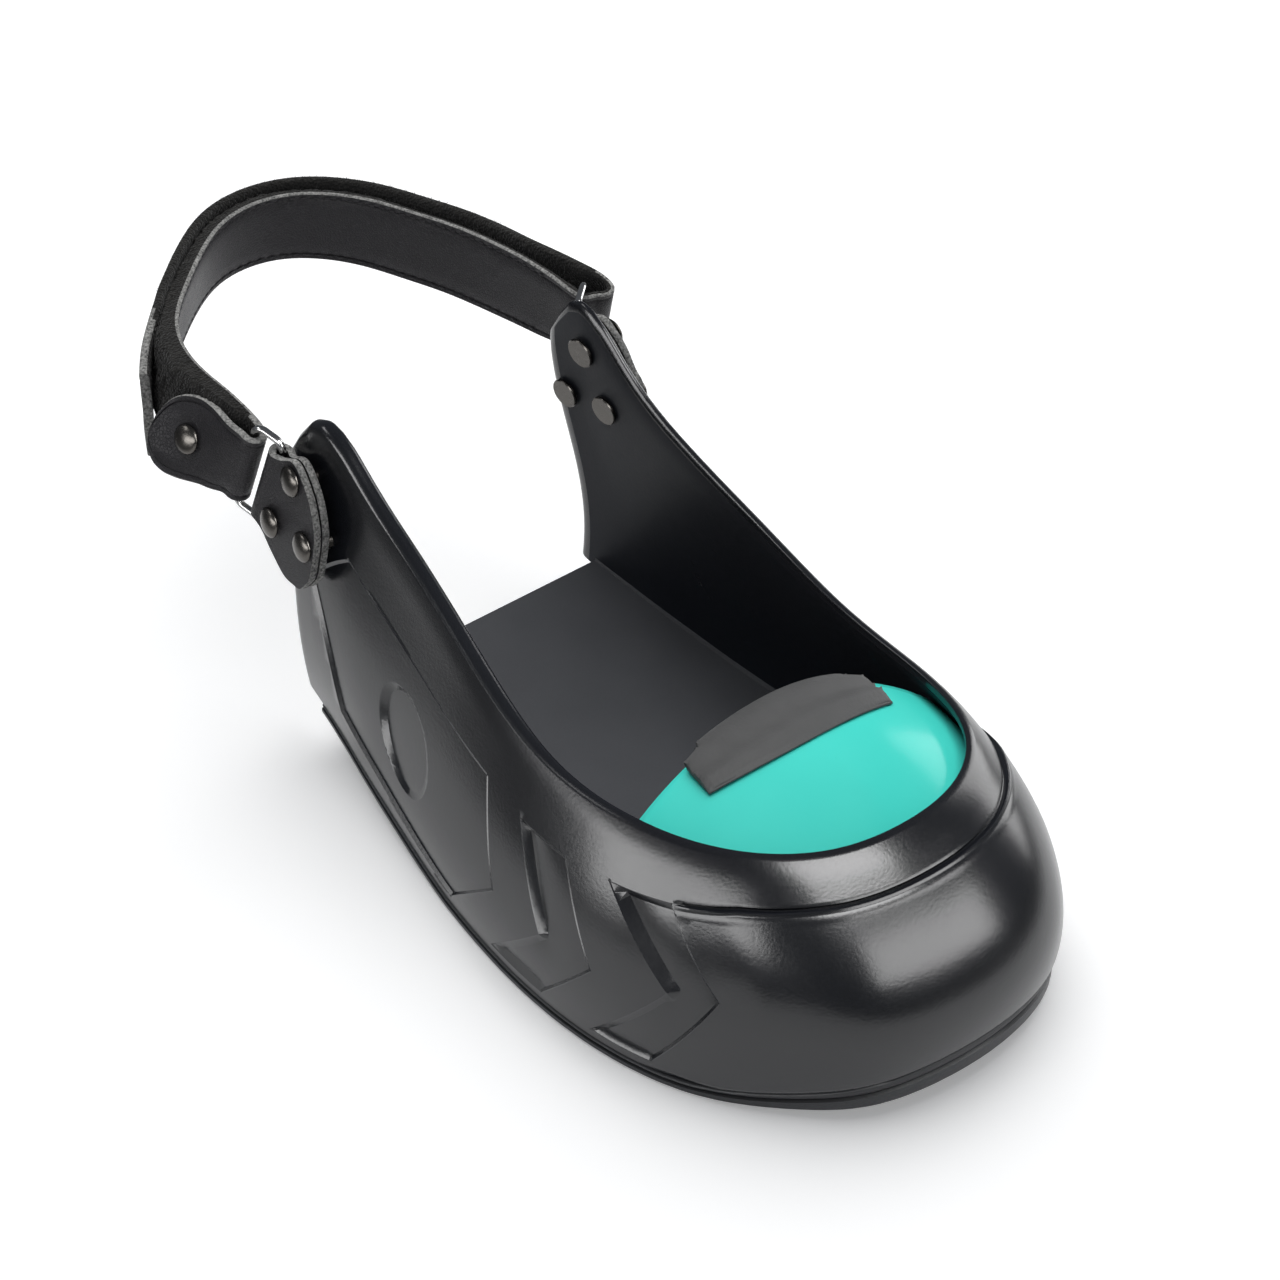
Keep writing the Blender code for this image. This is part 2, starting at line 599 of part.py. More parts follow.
class Ring:
    # directions and bars of one wire ring
    def __init__(self, name):
        row = dict(zip(RING_COLUMNS, RING_ROWS[name]))
        pitch, swing = math.radians(RING_PITCH), math.radians(row["swing"])
        self.name, self.side = name, row["side"]
        along = np.array((0.0, math.cos(pitch), math.sin(pitch)))
        upward = np.array((0.0, -math.sin(pitch), math.cos(pitch)))
        outward = np.array((self.side, 0, 0)) + WING_LEAN_ALONG * along + WING_LEAN_UP * upward
        self.outward = outward / np.linalg.norm(outward)
        bar = np.cross(self.outward, along) * self.side
        self.bar = bar / np.linalg.norm(bar)
        self.along = np.cross(self.bar, self.outward) * self.side
        self.span = self.along * math.cos(swing) + self.outward * math.sin(swing)
        self.tab_bar = points(row["across"], row["back"], row["up"])
        self.strap_bar = self.tab_bar + self.span * RING_SPAN


def ribbon(name, centres, across, edges, faces, look):
    # strip along the centres: edges are low and high along across, faces are offsets along the normal
    centres, across, edges, faces = (np.array(rows, float) for rows in (centres, across, edges, faces))
    half = (len(centres) - 1) / 2
    sheet = flat_slab(len(centres) - 1, 1, half, 1.0, 1.0)
    normal = np.cross(np.gradient(centres, axis=0), across)
    normal /= np.linalg.norm(normal, axis=1, keepdims=True)

    def place(along, share, depth):
        row = np.rint(along + half).astype(int)
        wide = edges[row, 0] + (edges[row, 1] - edges[row, 0]) * share
        lift = faces[row, 0] + (faces[row, 1] - faces[row, 0]) * -depth
        return centres[row] + across[row] * wide[:, None] + normal[row] * lift[:, None]

    place_all(sheet, place)
    return finish(name, sheet, look)


def arc(radius, start, end, count):
    # (along, outward) places round a bar, angles in degrees from the along direction
    angles = np.radians(np.linspace(start, end, count))
    return [(radius * math.cos(a), radius * math.sin(a)) for a in angles]


def tab_layer(reach):
    # middle of a tab's layer off the plane of the bar: round the wire, then flat on the other layer
    bend = RING_WIRE + BAR_GAP + TAB_LEATHER / 2
    flat = (TAB_LEATHER + TAB_LAYER_GAP) / 2
    return flat + (bend - flat) * np.clip(1 - reach / TAB_PINCH, 0, 1) ** 2


def build_tab(ring):
    low_column, high_column = (TAB_COLUMNS.index(edge + ring.name) for edge in ("low_", "high_"))
    outer = []
    for row in reversed(TAB_ROWS):
        outer.append((-row[0], tab_layer(row[0]), row[low_column], row[high_column]))
    low, high = outer[-1][2:]
    fold = [(*spot, low, high) for spot in arc(tab_layer(0.0), 60, -60, 4)]
    inner = [(along, -outward, low, high) for along, outward, low, high in reversed(outer)]
    rows = outer + fold + inner
    centres = [ring.tab_bar + ring.along * row[0] + ring.outward * row[1] for row in rows]
    faces = [(TAB_LEATHER / 2, -TAB_LEATHER / 2)] * len(rows)
    edges = [row[2:] for row in rows]
    return ribbon("wing_tab_" + ring.name, centres, [ring.bar] * len(rows), edges, faces, LEATHER)


def build_ring(ring):
    inset = RING_HALF_LENGTH - RING_CORNER
    corners = ((RING_SPAN - RING_CORNER, inset, 0), (RING_CORNER, inset, 90))
    corners += ((RING_CORNER, -inset, 180), (RING_SPAN - RING_CORNER, -inset, 270))
    curve = bpy.data.curves.new("ring_" + ring.name, "CURVE")
    curve.dimensions, curve.bevel_depth, curve.bevel_resolution = "3D", RING_WIRE * MM, 2
    places = []
    for span, bar, start in corners:
        places += [(span + s, bar + b) for s, b in arc(RING_CORNER, start, start + 90, 4)]
    wire = curve.splines.new("POLY")
    wire.points.add(len(places) - 1)
    for point, (span, bar) in zip(wire.points, places):
        spot = settled @ Vector(ring.tab_bar + ring.span * span + ring.bar * bar)
        point.co = (*(spot * MM), 1)
    wire.use_cyclic_u = True
    piece = bpy.data.objects.new("ring_" + ring.name, curve)
    curve.materials.append(material("ring_" + ring.name, *BRIGHT_STEEL))
    pieces.objects.link(piece)
    return piece


def leaning(across, back):
    lean = np.array((across, back, 1.0))
    return lean / np.linalg.norm(lean)


class StrapLine:
    # middle of the strap's leather from the lateral bar to the medial bar, by distance along it
    def __init__(self, lateral, medial):
        bend = RING_WIRE + BAR_GAP + STRAP_LEATHER / 2
        rows = [points(across, back, up) for back, across, up, *_ in STRAP_ROWS]
        leans = [leaning(*row[3:]) for row in STRAP_ROWS]
        start, end = (ring.strap_bar - ring.outward * bend for ring in (lateral, medial))
        rows, leans = np.vstack([start, *rows, end]), np.vstack([lateral.bar, *leans, medial.bar])
        places = np.concatenate([[0], np.cumsum(np.linalg.norm(np.diff(rows, axis=0), axis=1))])
        self.length = places[-1]
        self.curves = [spline(places, rows[:, axis]) for axis in range(3)]
        self.leans = [spline(places, leans[:, axis]) for axis in range(3)]

    def at(self, place, lift=0.0):
        step = 0.5
        spot, before, after = (
            np.array([curve(np.clip(place + move, 0, self.length)) for curve in self.curves])
            for move in (0, -step, step)
        )
        run = after - before
        outward = np.array((-run[1], run[0], 0.0)) / np.hypot(run[0], run[1])
        return spot + outward * lift

    def wide(self, place):
        lean = np.array([curve(place) for curve in self.leans])
        return lean / np.linalg.norm(lean)


def build_heel_strap(line, lateral, medial):
    half, leather = STRAP_HALF_HEIGHT, STRAP_LEATHER / 2
    bend = RING_WIRE + BAR_GAP + leather
    rows = []

    def add(centre, wide, tall=half, pile=0.0):
        rows.append((centre, wide, (-tall, tall), (leather, -leather - pile)))

    for back, across, up, lean_across, lean_back, tall in FLAP_ROWS:
        add(points(across, back, up), leaning(lean_across, lean_back), tall)
    for along, outward in arc(bend, 90, -90, 7):
        add(lateral.strap_bar - lateral.along * along + lateral.outward * outward, lateral.bar)
    for place in np.linspace(0, line.length, STRAP_STEPS + 1)[1:]:
        middle = min(place, line.length - place)
        add(line.at(place), line.wide(place), pile=STRAP_PILE * min(1, max(0, middle / 8 - 1)))
    for forward, outward in TURN_ROWS:
        add(medial.strap_bar - medial.along * forward + medial.outward * outward, medial.bar)
    for place in np.linspace(line.length - RETURN_LIFT, END_ROWS[0][0], RETURN_STEPS):
        slack = max(1 - (line.length - place) / RETURN_SLACK_RUN, 0) ** 1.5
        add(line.at(place, RETURN_LIFT + RETURN_SLACK * slack), line.wide(place))
    for place, lift, drop, lean_back in END_ROWS[1:]:
        add(line.at(place, RETURN_LIFT + lift) - points(0, TOE_TO_ORIGIN, drop), leaning(END_LEAN, lean_back))
    return ribbon("heel_strap", *zip(*rows), LEATHER)


def stand(piece, foot, axis):
    piece.location = settled @ Vector(foot) * MM
    piece.rotation_euler = (settled.to_3x3() @ Vector(axis)).to_track_quat("Z", "Y").to_euler()


def rivet(name, foot, axis, grip):
    # turned rivet: its disc's inner face ends grip below the head, which stands at foot along the axis
    crown = RIVET_DOME
    profile = (
        (0.0, crown),
        (RIVET_HEAD * 0.45, crown * 0.88),
        (RIVET_HEAD * 0.8, crown * 0.5),
        (RIVET_HEAD, crown * 0.12),
        (RIVET_HEAD, 0.0),
        (RIVET_SHANK, 0.0),
        (RIVET_SHANK, -grip),
        (RIVET_DISC, -grip),
        (RIVET_DISC, -grip - RIVET_DISC_THICK),
        (0.0, -grip - RIVET_DISC_THICK),
    )
    sheet = bmesh.new()
    verts = [sheet.verts.new((radius * MM, 0, up * MM)) for radius, up in profile]
    for start, end in zip(verts, verts[1:]):
        sheet.edges.new((start, end))
    mesh = bpy.data.meshes.new(name)
    sheet.to_mesh(mesh)
    sheet.free()
    piece = bpy.data.objects.new(name, mesh)
    stand(piece, foot, axis)
    turned = piece.modifiers.new("turned", "SCREW")
    turned.steps = turned.render_steps = RIVET_SIDES
    turned.use_merge_vertices, turned.merge_threshold = True, 1e-6
    mesh.materials.append(material(name, *DARK_STEEL))
    pieces.objects.link(piece)
    return piece


def rivet_hole(name, foot, axis, depth, targets):
    # clearance hole through the pieces that the rivet holds
    drill = bmesh.new()
    size = RIVET_HOLE * MM
    bmesh.ops.create_cone(
        drill, cap_ends=True, segments=12, radius1=size, radius2=size, depth=2 * depth * MM
    )
    mesh = bpy.data.meshes.new(name)
    drill.to_mesh(mesh)
    drill.free()
    cutter = bpy.data.objects.new(name, mesh)
    stand(cutter, foot, axis)
    cutter.hide_render, cutter.display_type = True, "WIRE"
    cutters.objects.link(cutter)
    for target in targets:
        hole = target.modifiers.new(name, "BOOLEAN")
        hole.operation, hole.object = "DIFFERENCE", cutter


def wing_depth(ring, foot):
    # how far below a rivet's foot the wing's inner face lies, at the deepest place under its disc
    stations = np.repeat(np.linspace(0.9, 1.0, 61), 61) * ring.side
    heights = np.tile(np.linspace(0.2, 1.0, 61), 61)
    inner = wall(stations, heights, np.full(stations.shape, -WALL)) - foot
    depth = inner @ -ring.outward
    near = np.linalg.norm(inner + depth[:, None] * ring.outward, axis=1) < RIVET_DISC
    return depth[near].max()


def build_tab_rivets(ring, upper, tab):
    for count, (back, up) in enumerate(RIVET_ROWS[ring.name], 1):
        spot = points(0.0, back, up) - ring.tab_bar
        spot[0] = -(spot[1:] @ ring.outward[1:]) / ring.outward[0]
        lift = tab_layer(-spot @ ring.along - RIVET_HEAD) + TAB_LEATHER / 2 + RIVET_GAP
        foot = ring.tab_bar + spot + ring.outward * lift
        grip = wing_depth(ring, foot) + RIVET_GAP
        name = f"tab_rivet_{ring.name}_{count}"
        rivet(name, foot, ring.outward, grip)
        rivet_hole("hole_" + name, foot, ring.outward, grip, (upper, tab))


def build_flap_rivet(line, strap):
    # square to the flap, with its disc clear of the strap's inner face
    spots = [points(across, back, up) for back, across, up, *_ in FLAP_ROWS]
    run = spots[FLAP_RIVET_ROW + 1] - spots[FLAP_RIVET_ROW - 1]
    axis = np.cross(run, leaning(*FLAP_ROWS[FLAP_RIVET_ROW][3:5]))
    axis /= np.linalg.norm(axis)
    foot = spots[FLAP_RIVET_ROW] + axis * (STRAP_LEATHER / 2 + FLAP_RIVET_GAP)
    grip = 0.0
    for place in np.linspace(0, line.length / 4, 101):
        inner = line.at(place, -STRAP_LEATHER / 2) - foot
        for tall in np.linspace(-1, 1, 21) * STRAP_HALF_HEIGHT:
            spot = inner + line.wide(place) * tall
            depth = -spot @ axis
            if np.linalg.norm(spot + depth * axis) < RIVET_DISC:
                grip = max(grip, depth + FLAP_RIVET_GAP / 2)
    rivet("flap_rivet", foot, axis, grip)
    rivet_hole("hole_flap_rivet", foot, axis, grip, (strap,))


for old in list(bpy.data.objects):
    bpy.data.objects.remove(old)
pieces = bpy.data.collections.new(OBJECT_NAME)
cutters = bpy.data.collections.new(OBJECT_NAME + "_cutters")
for group in (pieces, cutters):
    bpy.context.scene.collection.children.link(group)

build_outsole()
shell_upper = build_upper()
build_toe_cap()
build_cap_trim()
rings = {name: Ring(name) for name in RING_ROWS}
for wire_ring in rings.values():
    build_ring(wire_ring)
    build_tab_rivets(wire_ring, shell_upper, build_tab(wire_ring))
strap_line = StrapLine(rings["lateral"], rings["medial"])
build_flap_rivet(strap_line, build_heel_strap(strap_line, rings["lateral"], rings["medial"]))
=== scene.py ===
import math

import bmesh
import bpy
import numpy as np
from mathutils import Matrix, Vector


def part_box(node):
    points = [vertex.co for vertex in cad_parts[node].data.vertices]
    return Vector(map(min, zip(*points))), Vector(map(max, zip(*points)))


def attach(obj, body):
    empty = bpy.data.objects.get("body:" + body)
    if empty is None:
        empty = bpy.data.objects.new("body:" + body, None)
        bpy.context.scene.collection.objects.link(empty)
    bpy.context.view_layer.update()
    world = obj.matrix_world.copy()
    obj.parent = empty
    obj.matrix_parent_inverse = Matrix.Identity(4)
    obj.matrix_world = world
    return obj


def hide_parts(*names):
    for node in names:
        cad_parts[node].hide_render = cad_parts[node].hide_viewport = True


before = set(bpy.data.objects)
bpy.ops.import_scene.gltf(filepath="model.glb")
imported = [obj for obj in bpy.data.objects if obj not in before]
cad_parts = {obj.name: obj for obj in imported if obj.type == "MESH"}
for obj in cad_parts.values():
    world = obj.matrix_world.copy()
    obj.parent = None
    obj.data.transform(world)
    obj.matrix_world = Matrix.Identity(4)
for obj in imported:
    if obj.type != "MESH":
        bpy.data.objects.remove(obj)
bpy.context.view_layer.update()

# Right overshoe. Shapes are worked out in millimetres; "back" is the distance behind the toe tip.
mm = 0.001
toeToOrigin = 95.0
soleLength = 190.0
wallThick = 3.5
footbedHeight = 8.0
lugDepth, lugSweep = 1.8, 5.0


# Curves and the wall's own function

outlineColumns = (
    "station", "baseBack", "baseLateral", "baseMedial", "rimBack", "rimLateral",
    "rimMedial", "rimUpLateral", "rimUpMedial", "rimSlope", "baseFlare",
)
outlineRows = (
    (0.000, 0.0, -3.0, 3.0, 27.0, -1.0, 1.0, 58.0, 58.0, 42, 13),
    (0.150, 4.5, 23.0, 26.6, 29.0, 14.5, 16.0, 58.2, 57.5, 43, 12),
    (0.300, 17.2, 39.4, 42.8, 35.5, 28.0, 29.0, 58.5, 57.0, 46, 11),
    (0.450, 38.5, 54.6, 54.0, 48.0, 39.8, 38.7, 58.8, 56.6, 52, 11),
    (0.600, 68.5, 63.2, 57.8, 70.0, 47.8, 43.9, 58.4, 56.2, 60, 10),
    (0.720, 98.5, 63.6, 56.0, 98.0, 49.6, 45.9, 59.8, 57.7, 68, 10),
    (0.820, 128.0, 59.8, 53.0, 128.0, 46.8, 46.2, 68.8, 66.3, 76, 10),
    (0.890, 150.5, 55.8, 50.4, 154.5, 43.3, 44.0, 79.0, 77.8, 82, 9),
    (0.940, 169.0, 52.3, 48.4, 175.0, 42.2, 41.8, 90.6, 92.4, 86, 8),
    (0.965, 179.0, 50.3, 47.3, 186.0, 42.3, 40.6, 98.2, 102.3, 88, 8),
    (0.980, 186.0, 49.2, 46.5, 193.5, 42.5, 40.6, 97.5, 101.5, 88, 8),
    (1.000, 196.5, 47.8, 45.4, 203.5, 43.0, 41.0, 84.0, 88.0, 88, 8),
)
rearSkew = {"shift": 1.5, "from": 0.9}  # the rear edge slants back to the lateral side
ribHandle = 0.38
tread = {
    "floorAtToe": -3.6, "floorSlope": 0.030,  # the floor against the level line that heights start from
    "spring": 5.0, "springRun": 42.0, "archRise": 11.0, "archStart": 120.0, "archPower": 1.35,
    "feather": 3.5, "rand": 5.2, "randRun": 45.0, "randPower": 1.5,
}


def column(name):
    return np.array([row[outlineColumns.index(name)] for row in outlineRows], float)


def spline(knots, values):
    # natural cubic curve through the rows
    knots, values = np.asarray(knots, float), np.asarray(values, float)
    count, gaps = len(knots), np.diff(knots)
    matrix, right = np.eye(count), np.zeros(count)
    for i in range(1, count - 1):
        matrix[i, i - 1 : i + 2] = gaps[i - 1], 2 * (gaps[i - 1] + gaps[i]), gaps[i]
        slopeAfter = (values[i + 1] - values[i]) / gaps[i]
        right[i] = 6 * (slopeAfter - (values[i] - values[i - 1]) / gaps[i - 1])
    bend = np.linalg.solve(matrix, right)

    def curve(x):
        x = np.asarray(x, float)
        i = np.clip(np.searchsorted(knots, x) - 1, 0, count - 2)
        left, span, after = x - knots[i], gaps[i], knots[i + 1] - x
        cubic = (bend[i] * after**3 + bend[i + 1] * left**3) / (6 * span)
        start = (values[i] / span - bend[i] * span / 6) * after
        return cubic + start + (values[i + 1] / span - bend[i + 1] * span / 6) * left

    return curve


def bothSides(lateral, medial, sign):
    # the lateral side has negative stations
    stations = column("station")
    knots = np.concatenate([-stations[:0:-1], stations])
    return spline(knots, np.concatenate([sign * column(lateral)[:0:-1], column(medial)]))


baseAcross = bothSides("baseLateral", "baseMedial", -1)
evenBaseBack = bothSides("baseBack", "baseBack", 1)
rimAcross = bothSides("rimLateral", "rimMedial", -1)
evenRimBack = bothSides("rimBack", "rimBack", 1)
rimUp = bothSides("rimUpLateral", "rimUpMedial", 1)
rimSlope = bothSides("rimSlope", "rimSlope", 1)
baseFlare = bothSides("baseFlare", "baseFlare", 1)


def skewAt(station):
    reach = np.clip((np.abs(station) - rearSkew["from"]) / (1 - rearSkew["from"]), 0, 1)
    return -rearSkew["shift"] * np.sign(station) * reach


def baseBack(station):
    return evenBaseBack(station) + skewAt(station)


def rimBack(station):
    return evenRimBack(station) + skewAt(station)


def fade(distance, run):
    return np.clip(1 - distance / run, 0, 1)


def smoothStep(x):
    x = np.clip(x, 0, 1)
    return x * x * (3 - 2 * x)


def bentLevel(back):
    # the level line with the toe spring and the arch
    toe = fade(back, tread["springRun"]) ** 2 * tread["spring"]
    run = np.clip((back - tread["archStart"]) / (soleLength - tread["archStart"]), 0, None)
    return toe + run ** tread["archPower"] * tread["archRise"]


def floorHeight(back):
    return tread["floorAtToe"] + tread["floorSlope"] * back


def underside(back):
    return bentLevel(back) + floorHeight(back)


def randHeight(back):
    # from the tread to the foot of the wall
    return tread["feather"] + tread["rand"] * fade(back, tread["randRun"]) ** tread["randPower"]


# turns and lifts the pieces so that the floor lies level at height 0
settled = Matrix.Rotation(-math.atan(tread["floorSlope"]), 4, "X")
settled @= Matrix.Translation((0, 0, -floorHeight(toeToOrigin)))


def points(across, back, up):
    return np.stack([across, back - toeToOrigin, up], -1)


def unit(vectors):
    return vectors / np.linalg.norm(vectors, axis=-1, keepdims=True)


def outlineInward(station):
    step = 1e-3
    alongX = baseAcross(station + step) - baseAcross(station - step)
    alongY = baseBack(station + step) - baseBack(station - step)
    return unit(np.stack([-alongY, alongX, 0 * alongX], -1))


def rib(station, height):
    # outer face of the wall: a cubic arc from the base outline to the rim
    back = np.maximum(baseBack(station), 0)
    base = points(baseAcross(station), back, underside(back) + randHeight(back))
    rim = points(rimAcross(station), rimBack(station), rimUp(station))
    inward, up = outlineInward(station), np.array([0.0, 0.0, 1.0])
    handle = ribHandle * np.linalg.norm(rim - base, axis=-1, keepdims=True)
    flare = np.radians(baseFlare(station))[..., None]
    slope = np.radians(rimSlope(station))[..., None]
    first = base + handle * (up * np.cos(flare) - inward * np.sin(flare))
    second = rim - handle * (up * np.sin(slope) + inward * np.cos(slope))
    h = np.asarray(height)[..., None]
    low = (1 - h) ** 3 * base + 3 * (1 - h) ** 2 * h * first
    return low + 3 * (1 - h) * h * h * second + h**3 * rim


def wallNormal(station, height):
    step = 1e-3
    level = np.clip(height, step, 1 - step)
    along = rib(station + step, height) - rib(station - step, height)
    rise = rib(station, level + step) - rib(station, level - step)
    return unit(np.cross(along, rise))


def wall(station, height, offset):
    return rib(station, height) + wallNormal(station, height) * np.asarray(offset, float)[..., None]


# Materials: a socket of a material's nodes, with maths on it

class Wire:
    def __init__(self, tree, socket):
        self.tree, self.socket = tree, socket

    def node(self, kind, settings, inputs, output=0):
        made = self.tree.nodes.new("ShaderNode" + kind)
        for name, value in settings.items():
            setattr(made, name, value)
        for name, value in inputs.items():
            if isinstance(value, Wire):
                self.tree.links.new(value.socket, made.inputs[name])
            else:
                made.inputs[name].default_value = value
        return Wire(self.tree, made.outputs[output])

    def maths(self, operation, first, second):
        return self.node("Math", {"operation": operation}, {0: first, 1: second})

    def __add__(self, other):
        return self.maths("ADD", self, other)

    __radd__ = __add__

    def __sub__(self, other):
        return self.maths("SUBTRACT", self, other)

    def __mul__(self, other):
        return self.maths("MULTIPLY", self, other)


def grey(value, tint=(1.0, 1.0, 1.0)):
    return (*(value * t for t in tint), 1.0)


def newFinish(name, constants):
    made = bpy.data.materials.new(name)
    made.use_nodes = True
    tree = made.node_tree
    shader = tree.nodes["Principled BSDF"]
    for socket, value in constants.items():
        shader.inputs[socket].default_value = value
    place = Wire(tree, tree.nodes.new("ShaderNodeTexCoord").outputs["Object"])
    return made, shader, place


socketNames = {
    "colour": "Base Color", "roughness": "Roughness", "normal": "Normal", "glow": "Emission Color",
}


def feed(shader, **wires):
    for name, wire in wires.items():
        wire.tree.links.new(wire.socket, shader.inputs[socketNames[name]])


def noise(place, scale, detail=2.0):
    return place.node("TexNoise", {}, {"Vector": place, "Scale": scale, "Detail": detail})


def cells(place, scale, feature="F1"):
    return place.node("TexVoronoi", {"feature": feature}, {"Vector": place, "Scale": scale})


def mixed(share, first, second):
    return share.node("Mix", {"data_type": "RGBA"}, {0: share, 6: first, 7: second}, 2)


def bump(height, depth):
    return height.node("Bump", {}, {"Height": height, "Distance": depth, "Strength": 1.0})


def dress(shader, look, share, cloud, grain):
    feed(shader, colour=mixed(share, look["dark"], look["light"]))
    feed(shader, roughness=look["rough"] + cloud * look["roughSpread"])
    feed(shader, normal=bump(grain, look["depth"]))


coolTint, bedTint, leatherTint = (0.86, 0.96, 1.28), (0.95, 0.98, 1.08), (1.03, 0.97, 1.1)
rubberGrain = {"cloud": (38.0, 4.0), "speck": (1400.0, 2.0), "pits": (260.0, 2.0), "shares": (0.7, 0.6)}
rubberColumns = ("dark", "light", "rough", "roughSpread", "specular", "depth")
rubbers = {
    "blackRubber": (grey(0.008, coolTint), grey(0.012, coolTint), 0.14, 0.08, 0.62, 0.00003),
    "insideRubber": (grey(0.02, coolTint), grey(0.028, coolTint), 0.4, 0.1, 0.15, 0.00004),
    "footbedRubber": (grey(0.056, bedTint), grey(0.08, bedTint), 0.38, 0.12, 0.4, 0.00006),
    "soleRubber": (grey(0.012, coolTint), grey(0.018, coolTint), 0.32, 0.12, 0.5, 0.00006),
}
plainLooks = {
    "turquoisePaint": {
        "fixed": {"Specular IOR Level": 0.2}, "cloud": (45.0, 3.0), "grain": (330.0, 1.0),
        "dark": (0.068, 0.79, 0.675, 1.0), "light": (0.086, 0.86, 0.735, 1.0),
        "rough": 0.14, "roughSpread": 0.08, "depth": 0.00003,
    },
    "channelRubber": {
        "fixed": {"Specular IOR Level": 0.4}, "cloud": (120.0, 5.0), "grain": (1100.0, 3.0),
        "dark": grey(0.065), "light": grey(0.1), "rough": 0.52, "roughSpread": 0.16, "depth": 0.00012,
    },
    "brightWire": {
        "fixed": {"Metallic": 1.0}, "cloud": (500.0, 3.0), "grain": (1400.0, 2.0), "depth": 0.00002,
        "dark": grey(0.4032), "light": grey(0.56), "rough": 0.11, "roughSpread": 0.1,
    },
    "gunMetal": {
        "fixed": {"Metallic": 1.0}, "cloud": (500.0, 3.0), "grain": (1400.0, 2.0), "depth": 0.00002,
        "dark": (0.0792, 0.07416, 0.0684, 1.0), "light": (0.11, 0.103, 0.095, 1.0),
        "rough": 0.2, "roughSpread": 0.12,
    },
}
leather = {
    "fixed": {"Specular IOR Level": 0.19}, "cloud": (60.0, 4.0), "pores": 1100.0, "poreEdge": 8.0,
    "creases": (300.0, 3.0), "creaseShare": 0.8, "depth": 0.00009,
    "dark": grey(0.023, leatherTint), "light": grey(0.037, leatherTint),
    "rough": 0.36, "roughSpread": 0.16,
}
edgeFibre = {  # cut edge of the leather: grey and stringy
    "fixed": {"Specular IOR Level": 0.2}, "strings": (1500.0, 4.0), "blotch": (240.0, 3.0),
    "contrast": 2.2, "least": 0.3, "blotchLeast": 0.4, "depth": 0.0003,
    "dark": grey(0.06), "light": grey(0.5, (1.0, 0.99, 0.95)), "rough": 0.75, "roughSpread": 0.2,
}
loopPile = {
    "fixed": {"Specular IOR Level": 0.15, "Sheen Weight": 0.12}, "loops": 1300.0, "cloud": (420.0, 4.0),
    "depth": 0.0006,
    "dark": grey(0.003), "light": grey(0.035, (1.05, 1.0, 0.93)), "rough": 0.85, "roughSpread": 0.12,
}


def rubberFinish(name):
    look = dict(zip(rubberColumns, rubbers[name]))
    made, shader, place = newFinish(name, {"Specular IOR Level": look["specular"]})
    cloud, speck, pits = (noise(place, *rubberGrain[kind]) for kind in ("cloud", "speck", "pits"))
    speckShare, pitShare = rubberGrain["shares"]
    dress(shader, look, cloud, cloud + speck, speck * speckShare + pits * pitShare)
    return made


def plainFinish(name):
    look = plainLooks[name]
    made, shader, place = newFinish(name, look["fixed"])
    cloud = noise(place, *look["cloud"])
    dress(shader, look, cloud, cloud, noise(place, *look["grain"]))
    return made


def leatherFinish(name):
    made, shader, place = newFinish(name, leather["fixed"])
    pores = cells(place, leather["pores"], "DISTANCE_TO_EDGE")
    cloud, creases = noise(place, *leather["cloud"]), noise(place, *leather["creases"])
    grain = pores.maths("MINIMUM", pores * leather["poreEdge"], 1.0) + creases * leather["creaseShare"]
    dress(shader, leather, cloud, cloud, grain)
    return made


def fibreFinish(name):
    made, shader, place = newFinish(name, edgeFibre["fixed"])
    strings, blotch = noise(place, *edgeFibre["strings"]), noise(place, *edgeFibre["blotch"])
    share = (strings - edgeFibre["least"]) * edgeFibre["contrast"] * (blotch + edgeFibre["blotchLeast"])
    dress(shader, edgeFibre, share, strings, strings)
    return made


def pileFinish(name):
    made, shader, place = newFinish(name, loopPile["fixed"])
    loops, cloud = cells(place, loopPile["loops"]), noise(place, *loopPile["cloud"])
    dress(shader, loopPile, cloud, cloud, loops + cloud)
    return made


# Mesh helpers

hair = 1e-3  # what counts as level, or as at the end of a flat sheet
weld = {"close": 0.002, "thin": 0.0005}  # corners and faces that a finished piece loses


def addPiece(name, data, finishes, node):
    for finish in finishes:
        data.materials.append(finish)
    piece = bpy.data.objects.new(name, data)
    bpy.context.scene.collection.objects.link(piece)
    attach(piece, "root")
    if node:
        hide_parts(node)
    return piece


def finishPiece(name, sheet, finishes, node, sharp):
    # one piece in metres from a mesh built in millimetres
    bmesh.ops.remove_doubles(sheet, verts=sheet.verts[:], dist=weld["close"])
    bmesh.ops.dissolve_degenerate(sheet, dist=weld["thin"], edges=sheet.edges[:])
    bmesh.ops.recalc_face_normals(sheet, faces=sheet.faces[:])
    bmesh.ops.triangulate(sheet, faces=[face for face in sheet.faces if len(face.verts) > 4])
    bmesh.ops.transform(sheet, matrix=settled, verts=sheet.verts[:])
    bmesh.ops.scale(sheet, vec=(mm, mm, mm), verts=sheet.verts[:])
    for face in sheet.faces:
        face.smooth = True
    mesh = bpy.data.meshes.new(name)
    sheet.to_mesh(mesh)
    sheet.free()
    mesh.set_sharp_from_angle(angle=math.radians(sharp))
    print("made", name, len(mesh.polygons), "faces")
    return addPiece(name, mesh, finishes, node)


def flatSheet(columnCount, rowCount, wide, tall):
    # flat grid over -wide..wide and 0..tall
    sheet = bmesh.new()
    bmesh.ops.create_grid(sheet, x_segments=columnCount, y_segments=rowCount, size=1.0)
    bmesh.ops.scale(sheet, vec=(wide, tall / 2, 1), verts=sheet.verts[:])
    bmesh.ops.translate(sheet, vec=(0, tall / 2, 0), verts=sheet.verts[:])
    return sheet


def whole(values):
    return np.rint(values).astype(int)


